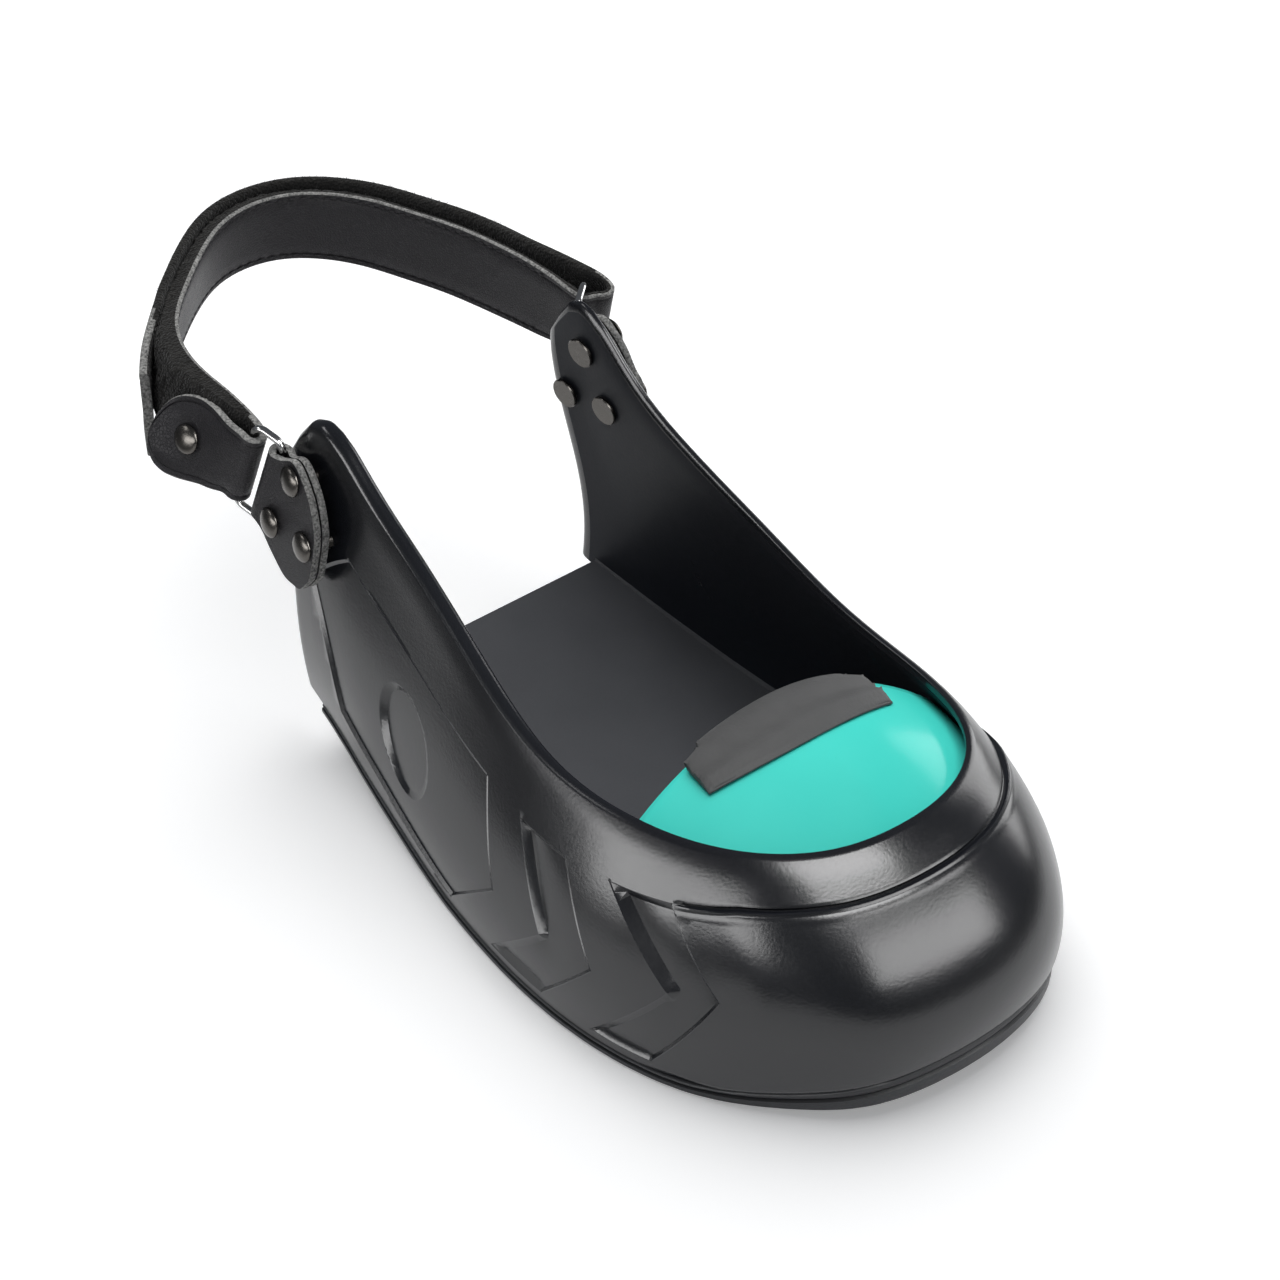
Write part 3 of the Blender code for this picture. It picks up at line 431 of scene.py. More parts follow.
def facing(direction):
    # turns +Z to a direction
    return Vector(direction).to_track_quat("Z", "Y").to_matrix().to_4x4()


def thicken(sheet, thickness):
    # a second layer below the flat one
    bmesh.ops.solidify(sheet, geom=sheet.faces[:], thickness=thickness)
    for vert in sheet.verts:
        vert.co.z = -abs(vert.co.z)


def levelEdges(sheet, *tests):
    # edges within one layer that have both ends where a test says so
    found = []
    for edge in sheet.edges:
        ends = [vert.co for vert in edge.verts]
        if abs(ends[0].z - ends[1].z) < hair and any(all(map(test, ends)) for test in tests):
            found.append(edge)
    return found


def roundEdges(sheet, edges, offset, segments):
    bmesh.ops.bevel(
        sheet, geom=edges, offset=offset, offset_type="OFFSET", segments=segments, profile=0.5,
        affect="EDGES", material=-1,
    )


def runAlong(spots):
    # distance along a row of places
    return np.concatenate([[0], np.cumsum(np.linalg.norm(np.diff(spots, axis=0), axis=1))])


def placeAll(sheet, place):
    flat = np.array([vert.co[:] for vert in sheet.verts], float)
    for vert, spot in zip(sheet.verts, place(flat[:, 0], flat[:, 1], flat[:, 2])):
        vert.co = spot


# Upper: flat pattern of the wall, cut along its raised and sunk fields, then wrapped

patternLength, patternHeight = 250.0, 60.0
upperCut = {
    "columns": 220, "levels": 34, "rimRound": 1.65, "rimSegments": 9,
    "rollRun": 6.0, "rollOuter": 0.6, "rollInner": 0.9,
    "swell": 2.6, "swellRun": 10.0, "swellPower": 1.5, "swellFrom": 0.6, "swellFade": 0.25,
    "wingStations": (0.95, 0.97, 0.98, 0.99),
    # a corner's station and height share, then the shoulder and relief of the edge that starts there
    "sidePanel": (
        (0.945, 0.71, 0.45, -0.7), (0.763, 0.74, 0.45, -0.7), (0.721, 0.345, 0.45, -0.7),
        (0.786, 0.055, 0.45, -0.7), (0.953, 0.12, 0.45, -0.7), (0.980, 0.49, 0.45, -0.7),
    ),
    "rearChevron": (
        (0.711, 0.73, 1.0, -1.1), (0.647, 0.735, 0.55, -1.0), (0.579, 0.35, 0.55, -0.8),
        (0.648, 0.045, 1.8, -1.4), (0.722, 0.045, 1.6, -0.9), (0.651, 0.345, 1.4, -2.0),
    ),
    "frontChevron": (
        (0.583, 0.75, 1.5, -1.5), (0.492, 0.77, 0.6, -1.2), (0.409, 0.43, 0.6, -0.9),
        (0.498, 0.045, 0.72, -1.3), (0.576, 0.045, 1.6, -1.0), (0.476, 0.42, 2.9, -2.2),
    ),
    "toeLine": ((0.489, 0.775), (0.390, 0.803), (0.200, 0.800), (0.000, 0.800)),
    "toeRearEdge": ((0.498, -0.2), (0.405, 0.43)),
    "toeRaise": 1.0, "toeShoulder": 0.35, "toeFade": 14.0,
    "circleCentre": (0.866, 0.41), "circleRadii": (0.035, 0.18), "circleSides": 40,
    "circleShoulder": 1.0,
    "circleDepths": (0.25, 1.25), "circleDeep": -10.0,  # least and added depth, where it is deepest
    "margin": 0.3, "borderDrop": 0.2, "ribbed": 0.65, "rib": 0.15, "mitred": 12,
    "blend": 0.8, "blendPower": -2.0,  # how the depths of a field's edges mix on its floor
    "cutReach": 1.6, "cutSnap": 0.03, "snap": 0.002, "weld": 0.05, "thin": 0.01, "sharp": 24.5,
    "lineRows": (  # below the toe line, lift
        (-1.1, 0.0), (-0.6, -0.08), (-0.2, -0.5), (0.05, -0.5), (0.3, 0.1), (0.6, 0.16),
        (1.1, 0.02), (1.5, 0.02), (2.0, 0.12), (2.8, 0.0),
    ),
    "lineFade": 3.0,
    "footRows": (  # over the foot of the wall, lift
        (0.0, -0.6), (0.4, -0.35), (0.9, -0.1), (1.6, 0.0),
    ),
    "footRun": 0.52, "footFade": 0.08,
}


def onPattern(rows):
    return [(station * patternLength, share * patternHeight, *edge) for station, share, *edge in rows]


def mirrored(rows):
    # corners run the other way round, so each takes the edge before it
    corners = [(-station, share) for station, share, *_ in reversed(rows)]
    edges = [row[2:] for row in reversed(rows)]
    return [(*corner, *edge) for corner, edge in zip(corners, edges[1:] + edges[:1])]


def circleField():
    (station, share), (wide, tall) = upperCut["circleCentre"], upperCut["circleRadii"]
    (least, added), rows = upperCut["circleDepths"], []
    for angle in np.linspace(0, 2 * math.pi, upperCut["circleSides"] + 1)[:-1]:
        deep = 0.5 + 0.5 * math.cos(angle - math.radians(upperCut["circleDeep"]))
        place = (station + wide * math.cos(angle), share + tall * math.sin(angle))
        rows.append((*place, upperCut["circleShoulder"], -least - added * deep))
    return rows


def toeField():
    line, rear = upperCut["toeLine"], upperCut["toeRearEdge"]
    top = [(-station, share) for station, share in line] + list(reversed(line[:-1]))
    sides = [rear[1], rear[0]] + [(-station, share) for station, share in rear]
    shoulders = [upperCut["toeShoulder"]] * (len(top) - 1) + [upperCut["toeFade"]] * (len(sides) + 1)
    corners = zip(top + sides, shoulders)
    return [(*corner, shoulder, upperCut["toeRaise"]) for corner, shoulder in corners]


def sideFields():
    fields = []
    moulded = [upperCut[name] for name in ("sidePanel", "rearChevron", "frontChevron")]
    for rows in (*moulded, circleField()):
        fields += [onPattern(rows), onPattern(mirrored(rows))]
    return fields


def edgesOf(field):
    corners = np.array([row[:2] for row in field])
    return list(zip(corners, np.roll(corners, -1, axis=0)))


def footOn(start, end, spots):
    run = end - start
    share = np.clip((spots - start) @ run / (run @ run), 0, 1)
    return start + share[:, None] * run


def edgeDistances(field, spots):
    feet = [footOn(*edge, spots) for edge in edgesOf(field)]
    return np.array([np.linalg.norm(spots - foot, axis=1) for foot in feet])


def insideOf(field, spots):
    inside = np.zeros(len(spots), bool)
    for start, end in edgesOf(field):
        spans = (start[1] > spots[:, 1]) != (end[1] > spots[:, 1])
        rise = end[1] - start[1] if end[1] != start[1] else 1e-9
        crossing = start[0] + (spots[:, 1] - start[1]) / rise * (end - start)[0]
        inside ^= spans & (spots[:, 0] < crossing)
    return inside


def fieldRelief(field, spots):
    # every edge has its own slope and depth; the floor runs from one depth to the other
    near = edgeDistances(field, spots)
    shoulders, depths = (np.array([row[c] for row in field])[:, None] for c in (2, 3))
    weights = (near + upperCut["blend"]) ** upperCut["blendPower"]
    floor = (weights * depths).sum(0) / weights.sum(0)
    ribbed = shoulders[:, 0] < upperCut["ribbed"]
    borders = np.where(ribbed, upperCut["rib"], -upperCut["borderDrop"])
    border = borders[near.argmin(0)] * (floor < 0)
    inner = border + (floor - border) * np.clip(near / shoulders, 0, 1).min(0)
    outer = border * fade(near.min(0), upperCut["margin"])
    return np.where(insideOf(field, spots), inner, outer)


def toeLineCorners():
    line = np.array(upperCut["toeLine"]) * (patternLength, patternHeight)
    return np.concatenate([line * (-1, 1), line[-2::-1]])


def toeLineHeight(along):
    line = toeLineCorners()
    return np.interp(along, line[:, 0], line[:, 1])


def reliefAt(fields, spots):
    total = sum(fieldRelief(field, spots) for field in fields)
    along, up = np.abs(spots[:, 0]), spots[:, 1]
    below, lift = zip(*upperCut["lineRows"])
    ends = smoothStep((upperCut["toeLine"][0][0] * patternLength - along) / upperCut["lineFade"])
    total = total + ends * np.interp(toeLineHeight(spots[:, 0]) - up, below, lift)
    above, lift = zip(*upperCut["footRows"])
    ends = smoothStep((upperCut["footRun"] - along / patternLength) / upperCut["footFade"])
    return total + ends * np.interp(up, above, lift)


def cutAlong(sheet, start, end):
    # splits the sheet's faces along one line of the pattern
    low = np.minimum(start, end) - upperCut["cutReach"]
    high = np.maximum(start, end) + upperCut["cutReach"]
    faces = []
    for face in sheet.faces:
        spot = face.calc_center_median()
        if low[0] < spot.x < high[0] and low[1] < spot.y < high[1]:
            faces.append(face)
    geometry = set(faces)
    for face in faces:
        geometry.update(face.edges, face.verts)
    run = end - start
    normal = Vector((-run[1], run[0], 0)).normalized()
    bmesh.ops.bisect_plane(
        sheet, geom=list(geometry), dist=upperCut["cutSnap"],
        plane_co=Vector((*start, 0)), plane_no=normal,
    )


def cutField(sheet, field):
    # lines outside every edge, on it, at the foot of its shoulder and beyond, then the mitres
    edges, margin = edgesOf(field), upperCut["margin"]
    inwards = []
    for (start, end), row in zip(edges, field):
        run = unit(end - start)
        inward = np.array((-run[1], run[0]))
        if not insideOf(field, ((start + end) / 2 + inward * 0.01)[None])[0]:
            inward = -inward
        inwards.append(inward)
        for depth in (-margin, 0.0, row[2], row[2] + margin):
            cutAlong(sheet, start + inward * depth, end + inward * depth)
    if len(field) < upperCut["mitred"]:
        for i, (start, _) in enumerate(edges):
            sides = np.array([inwards[i - 1], inwards[i]])
            cutAlong(sheet, start, start + np.linalg.solve(sides, (field[i - 1][2], field[i][2])))


def settleField(sheet, field):
    # moves the grid's own corners off a field's slopes and its border, onto the nearer cut
    verts, edges = sheet.verts[:], edgesOf(field)
    spots = np.array([vert.co[:2] for vert in verts])
    near, shoulders = edgeDistances(field, spots), np.array([row[2] for row in field])
    inside = insideOf(field, spots)
    widths = np.where(inside, shoulders[:, None], upperCut["margin"])
    shares = near / widths
    first = shares.argmin(0)
    for i in np.where(shares.min(0) < 1)[0]:
        distance, width = near[first[i], i], widths[first[i], i]
        target = 0.0 if distance < width / 2 else width
        if distance > 1e-4 and abs(distance - target) > upperCut["snap"]:
            foot = footOn(*edges[first[i]], spots[i : i + 1])[0]
            verts[i].co.x, verts[i].co.y = foot + (spots[i] - foot) * target / distance


def settleRows(sheet, heightOf, levels, reach):
    # moves the grid's own corners onto the nearest of some level cuts
    levels = np.array(levels)
    for vert in sheet.verts:
        up = vert.co.y - heightOf(vert.co.x)
        if abs(vert.co.x) < reach and levels.min() < up < levels.max():
            vert.co.y += levels[np.abs(levels - up).argmin()] - up


def cutRows(sheet, corners, levels):
    for start, end in zip(corners, corners[1:]):
        for level in levels:
            cutAlong(sheet, start + (0, level), end + (0, level))


def buildUpper(finish, insideFinish):
    fields = sideFields()
    sheet = flatSheet(upperCut["columns"], upperCut["levels"], patternLength, patternHeight)
    for station in upperCut["wingStations"]:
        for side in (-1, 1):
            foot = np.array((side * station * patternLength, 0.0))
            cutAlong(sheet, foot, foot + (0, patternHeight))
    lineLevels = [-below for below, _ in upperCut["lineRows"]]
    footLevels = [up for up, _ in upperCut["footRows"]]
    lineReach = upperCut["toeLine"][0][0] * patternLength
    footReach = upperCut["footRun"] * patternLength
    cutRows(sheet, toeLineCorners(), lineLevels)
    settleRows(sheet, toeLineHeight, lineLevels, lineReach)
    cutRows(sheet, np.array(((-footReach, 0.0), (footReach, 0.0))), footLevels[1:])
    settleRows(sheet, lambda along: 0.0, footLevels, footReach)
    for field in fields:
        cutField(sheet, field)
        settleField(sheet, field)
    bmesh.ops.remove_doubles(sheet, verts=sheet.verts[:], dist=upperCut["weld"])
    bmesh.ops.dissolve_degenerate(sheet, dist=upperCut["thin"], edges=sheet.edges[:])
    print("cut the wall's pattern", len(sheet.faces), "faces")
    thicken(sheet, wallThick)

    def onRim(co):
        return co.y > patternHeight - hair or abs(co.x) > patternLength - hair

    roundEdges(sheet, levelEdges(sheet, onRim), upperCut["rimRound"], upperCut["rimSegments"])
    for face in sheet.faces:
        if all(vert.co.z < hair - wallThick for vert in face.verts):
            face.material_index = 1
    fields.append(onPattern(toeField()))

    def place(along, up, depth):
        relief = reliefAt(fields, np.stack([along, up], -1))
        share = np.clip(1 + depth / wallThick, 0, 1)
        station, belowRim = along / patternLength, patternHeight - up
        roll = fade(belowRim, upperCut["rollRun"]) ** 2
        thin = roll * (upperCut["rollInner"] * (1 - share) - upperCut["rollOuter"] * share)
        swell = fade(belowRim, upperCut["swellRun"]) ** upperCut["swellPower"]
        onWing = smoothStep((-station - upperCut["swellFrom"]) / upperCut["swellFade"])
        swell = swell * (1 - share) * upperCut["swell"] * onWing
        offset = depth + relief * share + thin - swell
        return wall(station, up / patternHeight, offset)

    placeAll(sheet, place)
    finishes = [finish, insideFinish]
    return finishPiece("upper_shell", sheet, finishes, "upper", upperCut["sharp"])


# Outsole: lip, footbed and lugs

sole = {
    "endStation": 0.986, "lugColumns": 7, "lugRows": 22, "lugFirst": 6.0, "lugLast": 186.0,
    "lugShares": (0.0, 0.2, 0.26, 0.74, 0.8), "lugFrom": 0.23,  # lines on each lug, where it starts
    "ribShare": 0.008, "notch": 0.6, "fillet": 0.9, "flareShare": 0.5, "sharp": 40.0,
    "edge": (  # inset from the outline, height over the tread, share of the rand's height
        (0.5, 1.8, 0.0), (0.0, 0.3, 0.02), (-0.5, 0.3, 0.12), (-0.5, 0.0, 0.52), (0.1, 0.0, 0.575),
        (0.5, 0.0, 0.60), (0.1, 0.0, 0.635), (-0.2, 0.0, 0.70), (-0.25, 0.0, 0.80), (0.0, 0.0, 0.88),
        (0.5, 0.0, 0.93), (0.9, 0.0, 0.95), (3.2, 0.0, 0.95), (3.2, 0.0, 0.0),
    ),
}


def lugSteps(count):
    # places of the grid's lines, close together at the grooves
    steps = []
    for cell in range(count):
        steps += [(cell + share) / count for share in sole["lugShares"]]
    return np.array(steps + [1.0])


def buildOutsole(finish, bedFinish):
    rib, alongSteps = sole["ribShare"], lugSteps(sole["lugRows"])
    inner = lugSteps(sole["lugColumns"])[1:-1]
    acrossSteps = np.concatenate([[0.0, rib], inner, [1 - rib, 1.0]])
    last = len(sole["edge"]) - 1
    sheet = flatSheet(len(acrossSteps) - 1, len(alongSteps) - 1, 1.0, 1.0)
    thicken(sheet, last)
    for level in range(1, last):
        geometry = sheet.verts[:] + sheet.edges[:] + sheet.faces[:]
        bmesh.ops.bisect_plane(
            sheet, geom=geometry, dist=1e-4, plane_co=(0, 0, -level), plane_no=(0, 0, 1)
        )
    for face in sheet.faces:
        if all(vert.co.z < 0.5 - last for vert in face.verts):
            face.material_index = 1
    insets, heights, shares = (np.array(values) for values in zip(*sole["edge"]))

    def heightAt(back, level):
        side = underside(back) + heights[level] + shares[level] * randHeight(back)
        return np.where(level == last, bentLevel(back) + footbedHeight, side)

    def raised(steps, count):
        inCell = steps * count % 1
        return np.where(np.minimum(inCell, 1 - inCell) > sole["lugFrom"], 1.0, 0.0)

    def place(across, along, depth):
        level = whole(-depth)
        acrossRow = whole((across + 1) / 2 * (len(acrossSteps) - 1))
        alongRow = whole(along * (len(alongSteps) - 1))
        side, along = acrossSteps[acrossRow], alongSteps[alongRow]
        station = along * sole["endStation"]
        outline = np.maximum(evenBaseBack(station), 0)
        foot = underside(outline) + randHeight(outline)
        flare = sole["flareShare"] * np.tan(np.radians(baseFlare(station)))
        inset = insets[level] - flare * np.clip(heightAt(outline, level) - foot, 0, None)
        ends = []
        for sign in (-1, 1):
            edge = np.stack([baseAcross(sign * station), outline], -1)
            ends.append(edge + outlineInward(sign * station)[:, :2] * inset[:, None])
        plan = ends[0] * (1 - side[:, None]) + ends[1] * side[:, None]
        bottom = level == 0
        sweep = lugSweep * (1 - np.abs(2 * side - 1)) * np.sin(math.pi * along) * bottom
        back = plan[:, 1] + sweep
        lugs = raised(side, sole["lugColumns"]) * raised(along, sole["lugRows"])
        lugs = lugs * bottom * (back > sole["lugFirst"]) * (back < sole["lugLast"])
        border = np.minimum(side, 1 - side)
        rim = (border < rib + 1e-6) | (along > 1 - 1e-6)
        notched = np.where(raised(along, sole["lugRows"]) > 0, 1.0, sole["notch"])
        lugs = np.where(rim & bottom, notched, lugs)
        fillet = sole["fillet"] * (level == last) * (border < 1e-6)
        return points(plan[:, 0], back, heightAt(back, level) - lugs * lugDepth + fillet)

    placeAll(sheet, place)
    return finishPiece("sole_plate", sheet, [finish, bedFinish], "outsole", sole["sharp"])


# Steel cap and the rubber channel on its rear edge

cap = {
    "lateral": 0.60, "medial": 0.565, "foot": 0.14, "shoulder": 0.86, "turn": 0.5,
    "crownFront": 50.0, "crownRear": 72.5, "top": 63.0,
    "sideFall": 0.0047, "frontFall": 0.00433, "tilt": 0.03, "steel": 1.8, "gap": 0.5,
    "columns": 72, "levels": 40, "sharp": 60.0,
}
channel = {
    "rows": (  # reach forward of the edge, turn round it, half length
        (14.8, 90, 29.0), (10.0, 90, 28.8), (5.0, 90, 28.5), (1.0, 90, 28.0), (0.0, 90, 23.5),
        (0.0, 30, 21.3), (0.0, -30, 21.3), (0.0, -90, 22.5), (5.0, -90, 24.0), (10.0, -90, 25.5),
    ),
    "rubber": 1.8, "gap": 0.5, "taper": 0.33, "steps": 64, "perRow": 6, "medialShort": 0.93,
    "round": 0.45, "roundSegments": 3, "sharp": 45.0,
    "profile": (  # reach, lift of the outer face, share of the gap under the lip
        (0.0, 0.2, 1.0), (2.5, 0.45, 1.0), (6.8, -0.25, 1.0), (10.2, 0.4, 0.8), (12.0, -0.1, 0.5),
        (14.8, -0.9, 0.2),
    ),
}


def capRoof(across, back):
    fall = cap["sideFall"] * across**2 + cap["frontFall"] * (cap["crownRear"] - back) ** 2
    return cap["top"] - fall - cap["tilt"] * across


def capShoulder(side, share=1.0):
    station = side * np.where(side < 0, cap["lateral"], cap["medial"])
    height = cap["foot"] + (cap["shoulder"] - cap["foot"]) * np.broadcast_to(share, station.shape)
    return wall(station, height, np.full(station.shape, -wallThick - cap["gap"]))


def capDrop(side):
    # how far the shoulder lies below the roof's own curve
    shoulder = capShoulder(side)
    return capRoof(shoulder[..., 0], shoulder[..., 1] + toeToOrigin) - shoulder[..., 2]


def buildCap(finish):
    sheet = flatSheet(cap["columns"], cap["levels"], 1.0, 1.0)

    def place(side, rise, _):
        low = capShoulder(side, np.clip(rise / cap["turn"], 0, 1))
        left = 1 - np.clip((rise - cap["turn"]) / (1 - cap["turn"]), 0, 1)
        crown = cap["crownFront"] + (cap["crownRear"] - cap["crownFront"]) * np.abs(side)
        across = low[:, 0] * left
        back = crown + (low[:, 1] + toeToOrigin - crown) * left**2
        roof = capRoof(across, back) - capDrop(side) * left**3
        return points(across, back, np.where(left < 1, roof, low[:, 2]))

    placeAll(sheet, place)
    piece = finishPiece("cap_shell", sheet, [finish], "toe_cap", cap["sharp"])
    shell = piece.modifiers.new("steel", "SOLIDIFY")
    shell.thickness, shell.offset, shell.use_even_offset = cap["steel"] * mm, -1, True
    return piece


def buildChannel(finish):
    rows = np.array(channel["rows"], float)
    places = np.linspace(0, len(rows) - 1, (len(rows) - 1) * channel["perRow"] + 1)
    numbers = np.arange(len(rows))
    reach, turn, halfLength = (np.interp(places, numbers, rows[:, c]) for c in range(3))
    count = len(places) - 1
    sheet = flatSheet(channel["steps"], count, 1.0, count)
    thicken(sheet, 1.0)

    def atEnd(co):
        return abs(co.x) > 1 - hair

    def atLip(co):
        return co.y < hair or co.y > count - hair

    border = levelEdges(sheet, atEnd, atLip)
    spans, lifts, gaps = zip(*channel["profile"])

    def place(along, row, depth):
        row = np.clip(whole(row), 0, count)
        across = along * halfLength[row] * np.where(along > 0, channel["medialShort"], 1.0)
        inward = reach[row] * (1 - channel["taper"] * along**2)
        side = np.where(across < 0, -1.0, 1.0)
        corner = capShoulder(side)
        share = across / corner[:, 0]
        edge = cap["crownRear"] + (corner[:, 1] + toeToOrigin - cap["crownRear"]) * share**2
        steel = capRoof(across, edge - inward) - capDrop(side) * share**3 - cap["steel"] / 2
        onTop = turn[row] > 80
        lift = np.where(onTop, spline(spans, lifts)(reach[row]), 0.0)
        gap = channel["gap"] * np.where(onTop, np.interp(reach[row], spans, gaps), 1.0)
        radius = cap["steel"] / 2 + gap + (channel["rubber"] + lift) * (1 + depth)
        angle = np.radians(turn[row])
        return points(across, edge - inward + radius * np.cos(angle), steel + radius * np.sin(angle))

    placeAll(sheet, place)
    roundEdges(sheet, border, channel["round"], channel["roundSegments"])
    return finishPiece("cap_channel", sheet, [finish], "cap_trim", channel["sharp"])


# Rings, tabs and strap

ring = {
    "rows": {"lateral": (-1, 204.5, -47.9, 77.0, 24.0), "medial": (1, 201.5, 45.6, 82.5, 58.0)},
    "leanAlong": 0.13, "leanUp": 0.11, "pitch": 19.0,
    "wire": 1.2, "shown": 1.0, "span": 9.1, "halfLength": 13.8, "corner": 3.0, "barGap": 0.35,
    "cornerSteps": 10, "roundness": 5,
}
tab = {
    "rows": (  # reach forward of the bar, then low and high edges: lateral, medial
        (0.0, -11.8, 11.4, -10.8, 10.8),
        (3.0, -13.0, 12.6, -11.6, 11.4),
        (6.0, -14.2, 15.4, -15.0, 15.0),
        (12.0, -15.6, 15.4, -15.5, 15.0),
        (18.0, -16.0, 12.2, -15.0, 10.5),
        (22.0, -14.5, 8.0, -13.0, 6.0),
        (25.0, -11.5, 1.0, -10.0, 2.0),
        (26.2, -8.0, -5.0, -7.0, -3.0),
    ),
    "leather": 1.9, "layerGap": 0.5, "pinch": 6.0, "foldTurn": 75, "foldSteps": 11,
    "step": 1.0, "fineStep": 0.4, "fineFrom": 22.0, "fineTo": 26.0,
}
strap = {
    "rows": (  # back, across, up, lean across, lean back
        (221.0, -48.8, 82.2, 0.22, -0.12),
        (232.0, -49.0, 83.0, 0.25, -0.10),
        (245.0, -47.8, 84.0, 0.20, -0.13),
        (260.0, -41.2, 84.8, 0.12, -0.17),
        (275.0, -28.2, 84.9, 0.10, -0.20),
        (289.0, -12.9, 84.9, 0.10, -0.20),
        (296.3, -1.5, 84.9, 0.10, -0.20),
        (298.7, 10.2, 84.9, 0.10, -0.20),
        (296.5, 19.9, 84.9, 0.10, -0.20),
        (289.3, 28.9, 84.9, 0.10, -0.20),
        (279.0, 35.5, 84.9, 0.10, -0.20),
        (266.0, 40.3, 84.9, 0.10, -0.20),
        (253.0, 44.4, 84.9, 0.10, -0.20),
        (238.0, 47.2, 85.0, 0.08, -0.21),
        (222.0, 48.6, 85.4, 0.02, -0.25),
    ),
    "leather": 2.0, "halfHeight": 11.2, "steps": 30, "spacing": 0.9, "fuzz": 0.12,
    "pile": (  # place along the strap, height
        (4.0, 0.0), (10.0, 1.8), (20.0, 3.4), (34.0, 4.0), (60.0, 3.0), (90.0, 2.2), (150.0, 2.1),
        (172.0, 0.6),
    ),
    "foldTurn": 90, "foldSteps": 7, "foldHalf": 10.9, "returnPile": 0.5, "returnOver": 1.8,
    "turn": (  # forward of the bar, outward
        (2.3, -1.7), (3.5, 0.8), (5.1, 3.4), (4.8, 5.6), (2.4, 6.5),
    ),
    "returnLift": 5.0, "returnSlack": 4.1, "slackRun": 26.0, "slackPower": 1.5, "returnSteps": 26,
    "end": (  # place along the strap, extra lift, drop, lean back
        (56.0, 0.0, 0.0, -0.16),
        (50.0, 0.7, 0.8, -0.10),
        (44.0, 1.7, 2.2, 0.00),
        (38.5, 3.0, 3.8, 0.10),
        (34.0, 4.4, 5.2, 0.18),
    ),
    "endLean": 0.12,
    "flap": (  # back, across, up, lean across, lean back, half height
        (241.2, -60.20, 79.20, 0.42, 0.00, 1.0),
        (240.8, -59.95, 79.30, 0.42, 0.00, 3.6),
        (240.1, -59.50, 79.45, 0.42, 0.00, 5.6),
        (239.0, -58.85, 79.65, 0.42, 0.00, 7.6),
        (237.4, -58.00, 79.95, 0.415, 0.00, 9.4),
        (235.4, -57.10, 80.20, 0.41, 0.00, 10.6),
        (232.6, -56.10, 80.50, 0.395, -0.01, 11.3),
        (229.5, -55.20, 80.80, 0.38, -0.02, 11.5),
        (223.0, -54.10, 81.00, 0.30, -0.12, 11.0),
        (217.5, -53.70, 80.70, 0.20, -0.25, 10.7),
    ),
    "flapRivetRow": 7,
}
band = {  # section of tabs and strap: pressed line, corners, pile
    "lineInset": 1.8, "lineHalf": 0.45, "lineDepth": 0.35, "corner": 0.3, "cornerDrop": 0.35,
    "pileInset": 0.9, "pileShare": 0.75, "insetMost": 0.9, "weld": 0.004, "seed": 7, "sharp": 45.0,
}


class Ring:
    # directions and bars of one wire ring
    def __init__(self, name):
        self.name = name
        self.side, back, across, up, swing = ring["rows"][name]
        pitch, swing = math.radians(ring["pitch"]), math.radians(swing)
        along = np.array((0.0, math.cos(pitch), math.sin(pitch)))
        upward = np.array((0.0, -math.sin(pitch), math.cos(pitch)))
        lean = ring["leanAlong"] * along + ring["leanUp"] * upward
        self.outward = unit(np.array((self.side, 0, 0)) + lean)
        self.bar = unit(np.cross(self.outward, along) * self.side)
        self.along = np.cross(self.bar, self.outward) * self.side
        self.span = self.along * math.cos(swing) + self.outward * math.sin(swing)
        self.tabBar = points(across, back, up)
        self.strapBar = self.tabBar + self.span * ring["span"]


def arc(radius, start, end, count):
    # (along, outward) places round a bar, angles in degrees from the along direction
    angles = np.radians(np.linspace(start, end, count))
    return [(radius * math.cos(a), radius * math.sin(a)) for a in angles]


def bandSection(half, piled):
    # once round a leather band: (edge, inset from it, lift off the middle, share of the pile, finish)
    leatherFace, cutEdge, innerEdge = 0, 1, 3
    backFace = 2 if piled else 0
    line, lineHalf, corner = (band[name] for name in ("lineInset", "lineHalf", "corner"))
    groove, side = half - band["lineDepth"], half - band["cornerDrop"]
    pile = (band["pileInset"], -half, band["pileShare"], backFace)
    face = [(corner, half), (line - lineHalf, half), (line, groove), (line + lineHalf, half)]
    up = [(-1, inset, lift, 0, leatherFace) for inset, lift in face]
    middle = [(edge, 0.0, half, 0, leatherFace) for edge in (-0.5, -0.15, 0.15, 0.5)]
    down = [(1, inset, lift, 0, leatherFace) for inset, lift in reversed(face)]
    down[-1] = (1, corner, half, 0, cutEdge)
    high = [(1, 0.0, side, 0, cutEdge), (1, 0.0, 0.0, 0, innerEdge), (1, 0.0, -side, 0, innerEdge)]
    behind = [(1, corner, -half, 0, backFace), (1, *pile)]
    behind += [(edge, 0.0, -half, 1, backFace) for edge in (0.75, 0.4, 0.0, -0.4, -0.75)]
    behind += [(-1, *pile), (-1, corner, -half, 0, innerEdge)]
    low = [(-1, 0.0, -side, 0, innerEdge), (-1, 0.0, 0.0, 0, cutEdge), (-1, 0.0, side, 0, cutEdge)]
    return up + middle + down + high + behind + low


def edgeFinish(code, bare):
    # all of a band's cut edge is bare above 0.5, the half at its leather face above -0.5, none below
    if code == 3:
        return 1 if bare > 0.5 else 2
    return 2 if code == 1 and bare < -0.5 else code


def densify(rows, spacing):
    # more rows along a band, on curves through the given ones
    rows = np.array(rows, float)
    run = runAlong(rows[:, :3])
    places = np.linspace(0, run[-1], int(run[-1] / spacing) + 1)
    return np.stack([spline(run, rows[:, c])(places) for c in range(rows.shape[1])], -1)


